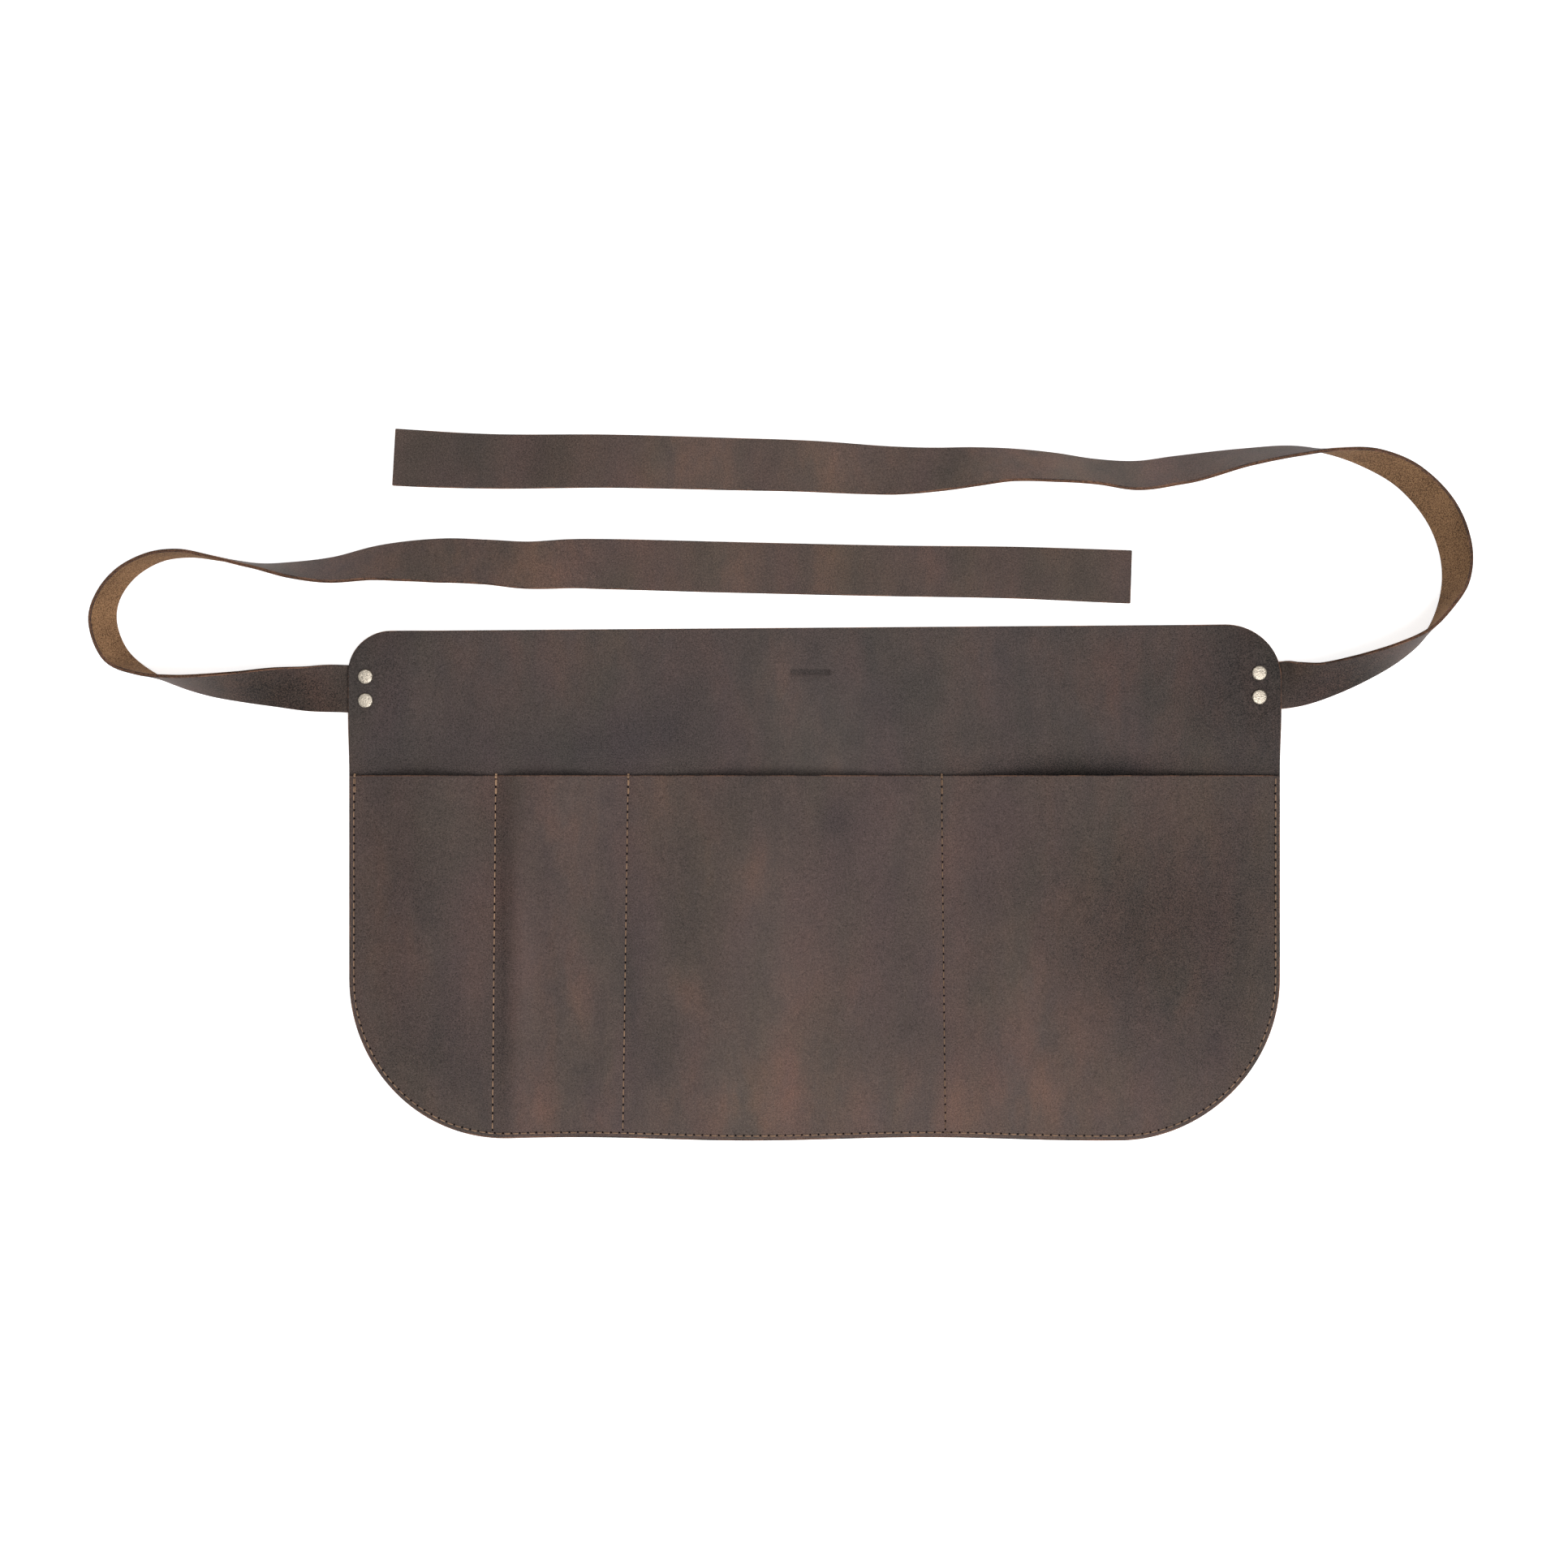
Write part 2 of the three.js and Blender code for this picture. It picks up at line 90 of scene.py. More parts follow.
# Pockets from left to right: share of the full puff, and the crest's place in shares of the width
POCKETS = [(0.75, 0.5), (0.75, 0.42), (0.85, 0.5), (1, 0.42)]

# Ties: how far each goes out and back, and its route in rows of out, back, up, roll and width
RIGHT_TIE = {
    "side": 1, "drop": 40, "rivet_inset": 14.6, "reach": 106.8, "run": 610.4,
    "end_width": 37.2, "end_y": RIGHT_END_Y,
    "route": [
        (0.05, 0, 0.003, 4, 1), (0.142, 0, 0.014, 24, 1), (0.279, 0, 0.04, 42, 1),
        (0.508, 0, 0.099, 55, 1), (0.736, 0, 0.178, 68, 1), (0.878, 0, 0.254, 79, 1),
        (0.959, 0, 0.34, 89, 1), (1, 0, 0.455, 105, 1), (0.98, 0, 0.564, 112, 1),
        (0.898, 0, 0.677, 114, 1), (0.726, 0, 0.794, 110, 1), (0.523, 0, 0.866, 102, 1),
        (0.305, 0, 0.914, 86, 1), (0.305, 0.039, 0.935, 73, 1), (0.305, 0.095, 0.925, 64, 1),
        (0.305, 0.165, 0.9, 49, 1), (0.305, 0.208, 0.882, 48, 1.01),
        (0.305, 0.251, 0.889, 53, 1.01), (0.305, 0.294, 0.911, 48, 1.02),
        (0.305, 0.338, 0.926, 43, 1.02), (0.305, 0.381, 0.932, 32, 1.03),
        (0.305, 0.424, 0.931, 22, 1.04), (0.305, 0.468, 0.936, 10, 1.05),
        (0.305, 0.554, 0.957, 0, 1.08), (0.305, 0.641, 0.967, 0, 1.1),
        (0.305, 0.771, 0.979, 0, 1.12), (0.305, 0.9, 0.981, 0, 1.15),
    ],
}
LEFT_TIE = {
    "side": -1, "drop": 37.7, "rivet_inset": 11.6, "reach": 152.7, "run": 548,
    "end_width": 34.7, "end_y": LEFT_END_Y,
    "route": [
        (0.04, 0, 0.002, 3, 1), (0.169, 0, 0.01, 22, 1), (0.311, 0, 0.039, 38, 1),
        (0.453, 0, 0.07, 54, 1), (0.596, 0, 0.109, 67, 1), (0.72, 0, 0.164, 80, 1),
        (0.845, 0, 0.246, 94, 1), (0.952, 0, 0.38, 107, 1), (1, 0, 0.552, 105, 1),
        (0.99, 0, 0.694, 99, 1), (0.922, 0, 0.838, 95, 1), (0.809, 0, 0.938, 92, 1),
        (0.685, 0, 0.966, 91, 1), (0.543, 0, 0.943, 88, 1), (0.383, 0, 0.912, 83, 1),
        (0.24, 0, 0.922, 69, 1), (0.24, 0.048, 0.954, 54, 1), (0.24, 0.096, 1.02, 42, 1.02),
        (0.24, 0.135, 1.053, 31, 1.02), (0.24, 0.183, 1.072, 22, 1.03),
        (0.24, 0.232, 1.064, 21, 1.03), (0.24, 0.28, 1.053, 14, 1.04),
        (0.24, 0.329, 1.069, 3, 1.04), (0.24, 0.377, 1.07, 0, 1.06),
        (0.24, 0.523, 1.052, 0, 1.07), (0.24, 0.716, 1.03, 0, 1.07), (0.24, 0.862, 1.022, 0, 1.09),
    ],
}

# Rows of stitching: where they run, how far they start and stop from the mouth and the edge row,
# the groove that they press, and how far the thread leans to one side of its holes
STITCH_PITCH = 5.4
STITCH_INSET = 2.9
EDGE_ROW_SHIFT = 0.2
EDGE_ROW_START = 1
SEAM_START = 2
SEAM_CLEARANCE = 2
GROOVE_DEPTH = 0.28
GROOVE_REACH = 0.85
EDGE_THREAD_LEAN = 0.45
SEAM_THREAD_LEAN = 0.08

# Painted light: how much paler the thread is painted on each seam, from left to right
THREAD_PAINTED_LIGHT = [0.3, 0, -0.3]

# Start of a row: two stitches are sewn twice, and two wraps go over the mouth's edge. A wrap has a
# start behind the first hole, an edge and a foot beyond the mouth, each with its lift
BACK_STITCH_LEAN = 0.5
BACK_STITCH_LIFT = 0.1
WRAP_LEANS = (-0.2, 0.45)
WRAP_START = (-0.4, 0.3)
WRAP_EDGE = (0.5, 0.2)
WRAP_FOOT = (0.9, -1.6)

# One stitch: its thread, where it is cut so that it can bend, the share of the pitch that shows,
# how it narrows and flattens, and how its arch rises and its ends dive
THREAD_RADIUS = 0.36
THREAD_SIDES = 8
STITCH_CUTS = (-0.4, -0.3, -0.12, 0.12, 0.3, 0.4)
STITCH_SPAN = 0.76
STITCH_TAPER = 0.35
STITCH_FLATNESS = 0.8
STITCH_RISE = 0.26
STITCH_DIVE = 0.72

# A needle hole: a dish whose rim stands higher than its floor, painted dark for the shade inside the hole
HOLE_RADIUS = 0.62
HOLE_SIDES = 10
HOLE_RIM = 0.14
HOLE_FLOOR = 0.07
HOLE_RISE = 0.2

# A firm fold in the second pocket, close to its left seam
FOLD_POCKET = 1
FOLD_HEIGHT = 1.7
FOLD_RISE = 10
FOLD_FALL = 26

# A plain bar pressed into the body under the waist edge
BAR_MIDDLE = (-3, -28.9)
BAR_SIZE = (27, 4.2)
BAR_DEPTH = 0.5
BAR_SOFTNESS = 0.6
BAR_SHADE = 0.6

# The pocket mouths' shadow is painted on the body as a darker line: heights above the mouth and its shades
MOUTH_SHADOW_LINE = [(-6, -0.6), (0.9, -0.6), (2, -0.3), (5, -0.1), (12, 0)]

# Soft patches of the wax's tone, and some painted shade and light where noted: x, y, half width, half height,
# warmth, brightness
WARMTH, BRIGHTNESS = 4, 5
PANEL_PATCHES = [
    (-250, -150, 40, 55, -0.35, -0.12), (-281, -173, 15, 30, 0.5, 0), (-267, -205, 24, 18, 0.4, 0.05),
    (-240, -270, 40, 40, -0.15, -0.1), (-161, -120, 30, 32, 0.4, 0.2), (-153, -200, 18, 50, 0.35, 0.05),
    (-158, -253, 16, 34, 0.4, 0.1), (-177, -317, 26, 18, 0.6, 0.1), (-100, -108, 9, 26, 0.5, 0.1),
    (-72, -163, 7, 32, 0.6, 0.05), (-39, -157, 16, 24, 0.45, 0.1), (-92, -232, 11, 12, 0.6, 0.1),
    (-84, -246, 9, 15, 0.6, 0.15), (-28, -301, 24, 34, 0.45, 0.08), (-26, -322, 10, 18, 0.4, 0.05),
    (-55, -300, 14, 34, 0.5, 0.2), (139, -301, 24, 34, 0.6, 0.2), (136, -238, 18, 36, 0.35, 0.35),
    (157, -184, 14, 18, 0.2, 0.05), (88, -131, 7, 26, 0.4, 0), (108, -118, 22, 18, -0.5, 0),
    (245, -237, 24, 26, 0.6, 0), (274, -178, 10, 20, 0.45, 0), (173, -269, 14, 28, 0.3, 0.15),
    (94, -317, 16, 22, 0.3, 0.1), (14, -126, 13, 13, -0.6, -0.1), (-34, -226, 30, 80, -0.1, 0.38),
    # The patch at x 208 is in part a painted shadow of a card that is not built, in part darker leather
    (56, -152, 42, 40, 0, 0.1), (35, -165, 50, 50, -0.45, -0.1), (208, -195, 58, 68, -0.1, -0.72),
    # At the first seam, the dark stripe at x -203 is painted shade in the valley beside it, and the pale
    # stripe at x -188 is a painted sheen on the rise of the second pocket
    (-188, -225, 8, 85, -0.25, 0.55), (245, -180, 50, 60, 0.25, 0), (-203, -200, 6, 150, 0, -0.45),
    (-106, -215, 14, 40, -0.2, 0.2), (-112, -290, 10, 50, -0.2, 0.05), (-67, -275, 16, 26, -0.2, 0.1),
    # The pale stripe at x -130 is a painted highlight on the second pocket's slope beside its right seam
    (110, -150, 16, 40, -0.3, 0), (40, -300, 40, 30, -0.1, 0.1), (-130, -225, 5, 120, 0.1, 0.15),
    (-265, -200, 55, 120, 0, -0.15), (280, -180, 50, 110, 0, -0.4), (0, -320, 240, 30, 0.45, 0.25),
]
BODY_PATCHES = [
    (-97, -62, 36, 22, -0.7, -0.05), (-82, -40, 16, 40, -0.4, -0.15), (51, -48, 22, 20, -0.5, 0),
    (110, -67, 26, 14, -0.5, -0.1), (-23, -30, 12, 40, 0.5, 0.15), (6, -74, 34, 44, 0.1, 0.38),
    # The patch at x 205 is in part a painted shadow of a card that is not built, in part darker leather
    (194, -35, 18, 34, 0.55, 0.05), (205, -30, 40, 34, 0, -0.25), (120, -14, 32, 12, 0.35, 0.05),
    (-182, -14, 42, 12, 0.35, 0.05), (-299, -24, 36, 50, -0.1, -0.3), (297, -35, 46, 70, 0.15, -0.8),
    (-170, -80, 90, 22, -0.9, -0.05), (-215, -55, 40, 30, -0.2, -0.1), (250, -60, 30, 30, 0.1, -0.15),
    # Painted shadow and light at the pocket mouths: the patch at x 172 is the painted shadow of the fourth
    # pocket's open mouth, and those at x -170 and 0 are painted light that lifts the mouths' shadow over the
    # second and third pockets
    (172, -92, 62, 9.5, 0, -0.75), (-170, -91, 26, 8, 0, 0.3), (0, -92, 50, 8, 0.1, 0.35),
]
TIE_PATCHES = [
    (-257, 111, 26, 30, -0.4, -0.1), (-176, 111, 22, 30, -0.1, -0.35), (-92, 111, 20, 30, 0.6, 0.3),
    (-60, 111, 18, 30, 0.4, 0.3), (-28, 111, 11, 30, -0.1, 0.05), (14, 108, 30, 30, 0.5, 0.4),
    # The brightness of the patches on the right tie from x 120 to 268, where it twists, is in part painted
    # sheen; their warmth is the leather's own
    (72, 108, 22, 30, 0.2, 0.2), (120, 108, 20, 30, 0.6, 0.55), (163, 108, 20, 30, 0.2, 0.75),
    (212, 108, 24, 30, 0.1, 0.7), (268, 112, 24, 30, 0, 0.35), (-326, 36, 30, 30, 0.4, -0.2),
    (-267, 39, 12, 30, 0.4, 0), (-228, 39, 20, 30, 0.7, 0.1), (-178, 39, 26, 30, 0.9, 0.2),
    (-140, 39, 22, 30, -0.1, 0), (-52, 36, 16, 30, 0.6, 0.2), (9, 34, 12, 30, 0.6, 0.05),
    (173, 30, 30, 30, 0.2, 0), (-350, -46, 60, 30, 0.6, -1.1), (-453, -4, 60, 50, 0, 0.3),
    (420, 66, 50, 60, 0, -0.4), (335, -45, 46, 34, 0.3, -0.85), (356, -30, 24, 22, 0.2, -0.45),
]

# Fineness of the leather: its cells, steps along its edges and ties, and shares across a tie
CELL = 5
WAIST_STEP = 3
HEM_STEP = 4
STITCH_ROW_STEP = 2
SECTION_STEP = 3
STRAP_ACROSS = [0, 0.05, 0.12, 0.25, 0.4, 0.6, 0.75, 0.88, 0.95, 1]

# Cut edges: how far their corners are softened, in how many steps and above what angle in degrees,
# and where the body's first ring of cells ends
EDGE_SOFTNESS = 0.5
EDGE_SEGMENTS = 3
EDGE_ANGLE = 60
BODY_RING = 1.6

# Shading is smooth below these angles in degrees
SMOOTH_ANGLE = 40
THREAD_SMOOTH_ANGLE = 60

# A face over this share of the largest is a flat side, and a point over this share of the thickness
# is on the grain side
FLAT_SIDE = 0.9
GRAIN_SIDE = 0.9

# Least length in millimetres, and in metres how close a cut or a point may come to a point
LEAST_LENGTH = 0.000001
CUT_TOLERANCE = 0.00002
MERGE_DISTANCE = 0.000001

# Camera straight above the apron, in metres, with its lens and film in millimetres
CAMERA_PLACE = (0.001968, 0.000449, 1.424045)
CAMERA_LENS = 50
CAMERA_SENSOR = 36

# Studio in metres: surroundings that are brightest at the horizon, a floor that glows a little,
# and softboxes by place, size and power
HORIZON_SPAN = (0.15, 0.6)
HORIZON_STRENGTH = 1.02
OVERHEAD_STRENGTH = 0.52
FLOOR_SIZE = 30
FLOOR_DROP = 0.0002
FLOOR_GLOW = 0.52
SOFTBOXES = [("key_softbox", (0.95, -1.05, 2.6), 1.7, 62), ("top_softbox", (-0.4, 0.9, 2.6), 2, 12)]

body_low, body_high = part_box("apron_body")
panel_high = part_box("pocket_panel")[1]
WAIST_MIDDLE = Vector(((body_low.x + body_high.x) / 2, panel_high.y + MOUTH_DROP * MM, 0))


def smooth_step(value):
    """Rises gently from 0 to 1 as the value does."""
    t = min(max(value, 0), 1)
    return t * t * (3 - 2 * t)


def mix(start, end, share):
    """Value at a share of the way from start to end."""
    return start + (end - start) * share


def corner_cut(radius, distance):
    """How far a round corner draws an edge back, at a distance in from the side."""
    rest = max(radius - distance, 0)
    return radius - math.sqrt(radius ** 2 - rest ** 2)


def side_of(x, corners, setback):
    """Radius of the nearer corner, and the distance in from that side."""
    half = BODY_WIDTH / 2 - setback
    radius, distance = (corners[0], x + half) if x < 0 else (corners[1], half - x)
    return radius - setback, max(distance, 0)


def waist_y(x):
    """The waist edge rises a little to the right and is cut round at its ends."""
    return WAIST_RISE * x / BODY_WIDTH - corner_cut(*side_of(x, WAIST_CORNERS, 0))


def hem_y(x, setback=0):
    """The hem waves a little between its round corners; the setback draws it in."""
    wave = HEM_WAVE * math.cos(2 * math.pi * (x - HEM_WAVE_START) / HEM_WAVE_LENGTH)
    return setback - BODY_DROP - wave + corner_cut(*side_of(x, HEM_CORNERS, setback))


def edge_columns(corners, setback, step):
    """Places across the width, closer together round the corners, about a step apart along the edge."""
    half = BODY_WIDTH / 2 - setback
    left, right = (radius - setback for radius in corners)
    around = []
    for radius in (left, right):
        count = round(radius * math.pi / 2 / step)
        around.append([radius * (1 - math.cos(math.pi / 2 * k / count)) for k in range(count)])
    straight = 2 * half - left - right
    count = round(straight / step)
    middle = [left - half + straight * k / count for k in range(count + 1)]
    return [d - half for d in around[0]] + middle + [half - d for d in reversed(around[1])]


def strap_line_y(tie):
    """Height of a tie's middle line where it leaves the body."""
    return tie["side"] * WAIST_RISE / 2 - tie["drop"]


def body_lift(x, y):
    """The body rises over each tucked tie end and settles on the table round it."""
    tie = LEFT_TIE if x < 0 else RIGHT_TIE
    inward = BODY_WIDTH / 2 - STRAP_TUCK - LEVEL_MARGIN - abs(x)
    along = abs(y - strap_line_y(tie)) - STRAP_WIDTH / 2 - LEVEL_MARGIN
    return BODY_SEAT * (1 - smooth_step(math.hypot(max(inward, 0), max(along, 0)) / SETTLE_LENGTH))


def strap_lift(x, y, tie):
    """A tie is held up at its tuck and settles on the table beyond the body."""
    outward = abs(x) - BODY_WIDTH / 2
    along = abs(y - strap_line_y(tie)) - STRAP_WIDTH
    return STRAP_SEAT * (1 - smooth_step(math.hypot(max(outward, 0), max(along, 0)) / SETTLE_LENGTH))


def down_share(x, y):
    """Share of the way from the pocket mouth to the hem."""
    return min(max((-MOUTH_DROP - y) / (-MOUTH_DROP - hem_y(x, POCKET_SETBACK)), 0), 1)


def pocket_bounds(row):
    """Sides and seams of the panel from left to right, at a share of the way down."""
    half = BODY_WIDTH / 2 - POCKET_SETBACK
    return [-half, *(mix(mouth, hem, row) for mouth, hem in SEAMS), half]


def pocket_lift(x, y):
    """Height of a pocket's front over the body: nothing along its seams and hem, most at the mouth."""
    row = down_share(x, y)
    bounds = pocket_bounds(row)
    index = max([k for k in range(len(POCKETS)) if x >= bounds[k]], default=0)
    puff, crest = POCKETS[index]
    start, end = bounds[index] + STITCH_MARGIN, bounds[index + 1] - STITCH_MARGIN
    share = min(max((x - start) / (end - start), 0), 1)
    across = math.sin(math.pi * share ** (math.log(0.5) / math.log(crest))) ** 2
    fold = 0
    if index == FOLD_POCKET:
        away = x - start
        fold = smooth_step(away / FOLD_RISE) * (1 - smooth_step((away - FOLD_RISE) / FOLD_FALL))
    return (POCKET_PUFF * puff * across + FOLD_HEIGHT * fold) * math.cos(math.pi / 2 * row)


def edge_distance(x, y):
    """Distance in from the panel's side or hem edge."""
    half = BODY_WIDTH / 2 - POCKET_SETBACK
    radius, distance = side_of(x, HEM_CORNERS, POCKET_SETBACK)
    centre_y = POCKET_SETBACK - BODY_DROP + radius
    if distance < radius and y < centre_y:
        return radius - math.hypot(radius - distance, centre_y - y)
    return min(half - abs(x), y - hem_y(x, POCKET_SETBACK))


def groove(x, y):
    """The stitching presses a shallow groove into the panel."""
    row = down_share(x, y)
    lines = [edge_distance(x, y) - STITCH_INSET] + [x - mix(*seam, row) for seam in SEAMS]
    return GROOVE_DEPTH * max(0, 1 - min(abs(line) for line in lines) / GROOVE_REACH)


def panel_top(x, y):
    """Height of the panel's grain side over the table."""
    return (BODY_LEATHER + LAYER_GAP + POCKET_LEATHER + body_lift(x, y) + pocket_lift(x, y)
            - groove(x, y))


def deselect():
    """Leaves edit mode and selects nothing."""
    if bpy.context.object and bpy.context.object.mode == "EDIT":
        bpy.ops.object.mode_set(mode="OBJECT")
    bpy.ops.object.select_all(action="DESELECT")


def start_editing(piece, select="SELECT"):
    """Opens a piece alone in edit mode, with all or none of its faces selected."""
    deselect()
    bpy.context.view_layer.objects.active = piece
    piece.select_set(True)
    bpy.ops.object.mode_set(mode="EDIT")
    bpy.ops.mesh.select_mode(type="FACE")
    bpy.ops.mesh.select_all(action=select)


def stop_editing():
    """Goes back to object mode."""
    bpy.ops.object.mode_set(mode="OBJECT")


def apply_modifier(piece, name, kind, **settings):
    """Gives a piece a modifier with these settings and keeps its result in the mesh."""
    modifier = piece.modifiers.new(name, kind)
    for key, value in settings.items():
        setattr(modifier, key, value)
    deselect()
    bpy.context.view_layer.objects.active = piece
    piece.select_set(True)
    bpy.ops.object.modifier_apply(modifier=modifier.name)


def select_faces(piece, wanted):
    """Selects faces of the piece in edit mode by a test of each one."""
    stop_editing()
    for face in piece.data.polygons:
        face.select = wanted(face)
    bpy.ops.object.mode_set(mode="EDIT")


def finish_piece(piece, name, smooth_angle=SMOOTH_ANGLE):
    """Puts the origin at the frame's own, keeps the shape in the mesh, and shades it smooth."""
    deselect()
    bpy.context.view_layer.objects.active = piece
    piece.select_set(True)
    bpy.ops.object.transform_apply(location=True, rotation=True, scale=True)
    bpy.ops.object.shade_smooth_by_angle(angle=math.radians(smooth_angle))
    piece.name = name
    piece.data.name = name
    return piece


def give_sides(piece, finishes):
    """Grain side, flesh side, the core of the cut edge and its burnished corners, in that order."""
    for finish in finishes:
        piece.data.materials.append(finish)


def thicken(piece, thickness, offset):
    """Gives a sheet its thickness and softens its cut edges."""
    apply_modifier(piece, "thickness", "SOLIDIFY", thickness=thickness * MM, offset=offset,
                   material_offset=1, material_offset_rim=2)
    apply_modifier(piece, "edges", "BEVEL", width=EDGE_SOFTNESS * MM, segments=EDGE_SEGMENTS,
                   material=3, limit_method="ANGLE", angle_limit=math.radians(EDGE_ANGLE),
                   use_clamp_overlap=False)


def cut_blank(outline, thickness, rings, finishes):
    """A flat piece of leather cut to an outline, with softened edges and rings inset from its edge."""
    deselect()
    bpy.ops.mesh.primitive_circle_add(vertices=len(outline), radius=1, fill_type="NGON")
    piece = bpy.context.object
    for vertex, (x, y) in zip(piece.data.vertices, outline):
        vertex.co = (x * MM, y * MM, 0)
    start_editing(piece)
    bpy.ops.mesh.normals_make_consistent(inside=False)
    stop_editing()
    if piece.data.polygons[0].normal.z < 0:
        piece.data.flip_normals()
    give_sides(piece, finishes)
    thicken(piece, thickness, 1)
    start_editing(piece, "DESELECT")
    largest = max(face.area for face in piece.data.polygons)
    select_faces(piece, lambda face: face.area > FLAT_SIDE * largest and face.normal.z > 0)
    at = EDGE_SOFTNESS
    for ring in rings:
        bpy.ops.mesh.inset(thickness=(ring - at) * MM, use_boundary=True)
        at = ring
    stop_editing()
    return piece


def cut_cells(piece, lines):
    """Cuts the piece, so that it can bend, along lines that are each a point and a direction across."""
    start_editing(piece)
    for (x, y), (across_x, across_y) in lines:
        bpy.ops.mesh.select_all(action="SELECT")
        bpy.ops.mesh.bisect(plane_co=(x * MM, y * MM, 0), plane_no=(across_x, across_y, 0),
                            threshold=CUT_TOLERANCE)
    stop_editing()


def bar_share(x, y):
    """How far a place on the body is pressed in by the bar, from 0 outside to 1 on its floor."""
    away = [abs(at - middle) - size / 2 for at, middle, size in zip((x, y), BAR_MIDDLE, BAR_SIZE)]
    return min(max(-max(away) / BAR_SOFTNESS, 0), 1)


def mouth_painted_shadow(y):
    """Painted shadow of the pocket mouths on the body, by height over the mouth."""
    at = y + MOUTH_DROP
    for (low, start), (high, end) in zip(MOUTH_SHADOW_LINE, MOUTH_SHADOW_LINE[1:]):
        if low <= at <= high:
            return mix(start, end, (at - low) / (high - low))
    return 0


def bar_lines():
    """Lines along the outline of the bar and of its floor."""
    lines = []
    for inset in (0, BAR_SOFTNESS):
        for way in (-1, 1):
            lines.append(((BAR_MIDDLE[0] + way * (BAR_SIZE[0] / 2 - inset), 0), (1, 0)))
            lines.append(((0, BAR_MIDDLE[1] + way * (BAR_SIZE[1] / 2 - inset)), (0, 1)))
    return lines


def cell_lines(low, high):
    """Upright and level lines a cell apart between two corners."""
    lines = []
    for axis in (0, 1):
        count = round((high[axis] - low[axis]) / CELL)
        for k in range(1, count):
            at = mix(low[axis], high[axis], k / count)
            lines.append(((at, 0), (1, 0)) if axis == 0 else ((0, at), (0, 1)))
    return lines


def store_value(piece, name, value_at):
    """Keeps a value at each vertex for the finish, by its place in the pattern."""
    attribute = piece.data.attributes.new(name, "FLOAT", "POINT")
    for vertex in piece.data.vertices:
        attribute.data[vertex.index].value = value_at(vertex.co.x / MM, vertex.co.y / MM)


def patch_sum(patches, x, y, column):
    """Warmth or brightness that the patches add up to at a place."""
    total = 0
    for patch in patches:
        middle_x, middle_y, half_width, half_height = patch[:4]
        away = ((x - middle_x) / half_width) ** 2 + ((y - middle_y) / half_height) ** 2
        total += patch[column] * math.exp(-away)
    return total


def store_patches(piece, patches, mark=lambda x, y: 0):
    """Keeps the patches' warmth and brightness for the finish; a mark is added to the brightness."""
    store_value(piece, "warmth", lambda x, y: patch_sum(patches, x, y, WARMTH))
    store_value(piece, "brightness", lambda x, y: patch_sum(patches, x, y, BRIGHTNESS) + mark(x, y))


def body_mark(x, y):
    """Painted shadow of the pocket mouths on the body, and darkening on the floor of the bar."""
    return mouth_painted_shadow(y) - BAR_SHADE * bar_share(x, y)


def thread_painted_light(x, y):
    """The thread is painted paler on the left seam and darker on the right one, for the light it catches
    where it lies prouder.
    """
    for (mouth, hem), shade in zip(SEAMS, THREAD_PAINTED_LIGHT):
        if abs(x - mix(mouth, hem, down_share(x, y))) < STITCH_INSET:
            return shade
    return 0


def make_body(finishes):
    """The main panel, raised over the ties' tucks and with the bar pressed into it."""
    top = [(x, waist_y(x)) for x in edge_columns(WAIST_CORNERS, 0, WAIST_STEP)]
    bottom = [(x, hem_y(x)) for x in edge_columns(HEM_CORNERS, 0, HEM_STEP)]
    piece = cut_blank(bottom + top[::-1], BODY_LEATHER, [BODY_RING], finishes)
    cells = cell_lines((-BODY_WIDTH / 2, -BODY_DROP), (BODY_WIDTH / 2, 0))
    mouth_lines = [((0, at - MOUTH_DROP), (0, 1)) for at, shade in MOUTH_SHADOW_LINE]
    cut_cells(piece, cells + bar_lines() + mouth_lines)
    for vertex in piece.data.vertices:
        x, y = vertex.co.x / MM, vertex.co.y / MM
        pressed = BAR_DEPTH * bar_share(x, y) if vertex.co.z > BODY_LEATHER * MM * GRAIN_SIDE else 0
        vertex.co.z += (body_lift(x, y) - pressed) * MM
    return piece


def make_panel(finishes):
    """The pocket panel, raised between its seams and pressed in along its stitching."""
    half = BODY_WIDTH / 2 - POCKET_SETBACK
    columns = edge_columns(HEM_CORNERS, POCKET_SETBACK, HEM_STEP)
    bottom = [(x, hem_y(x, POCKET_SETBACK)) for x in columns]
    outline = [(-half, -MOUTH_DROP), *bottom, (half, -MOUTH_DROP)]
    rings = [STITCH_INSET - GROOVE_REACH, STITCH_INSET, STITCH_INSET + GROOVE_REACH]
    piece = cut_blank(outline, POCKET_LEATHER, rings, finishes)
    drop = BODY_DROP - MOUTH_DROP
    across = [((mouth + shift, -MOUTH_DROP), (drop, hem - mouth))
              for mouth, hem in SEAMS for shift in (-GROOVE_REACH, 0, GROOVE_REACH)]
    across = [(place, Vector((dx, dy)).normalized()) for place, (dx, dy) in across]
    cut_cells(piece, cell_lines((-half, -BODY_DROP), (half, -MOUTH_DROP)) + across)
    for vertex in piece.data.vertices:
        x, y = vertex.co.x / MM, vertex.co.y / MM
        lift = BODY_LEATHER + LAYER_GAP + body_lift(x, y) + pocket_lift(x, y)
        if vertex.co.z > POCKET_LEATHER * MM * GRAIN_SIDE:
            lift -= groove(x, y)
        vertex.co.z += lift * MM
    return piece


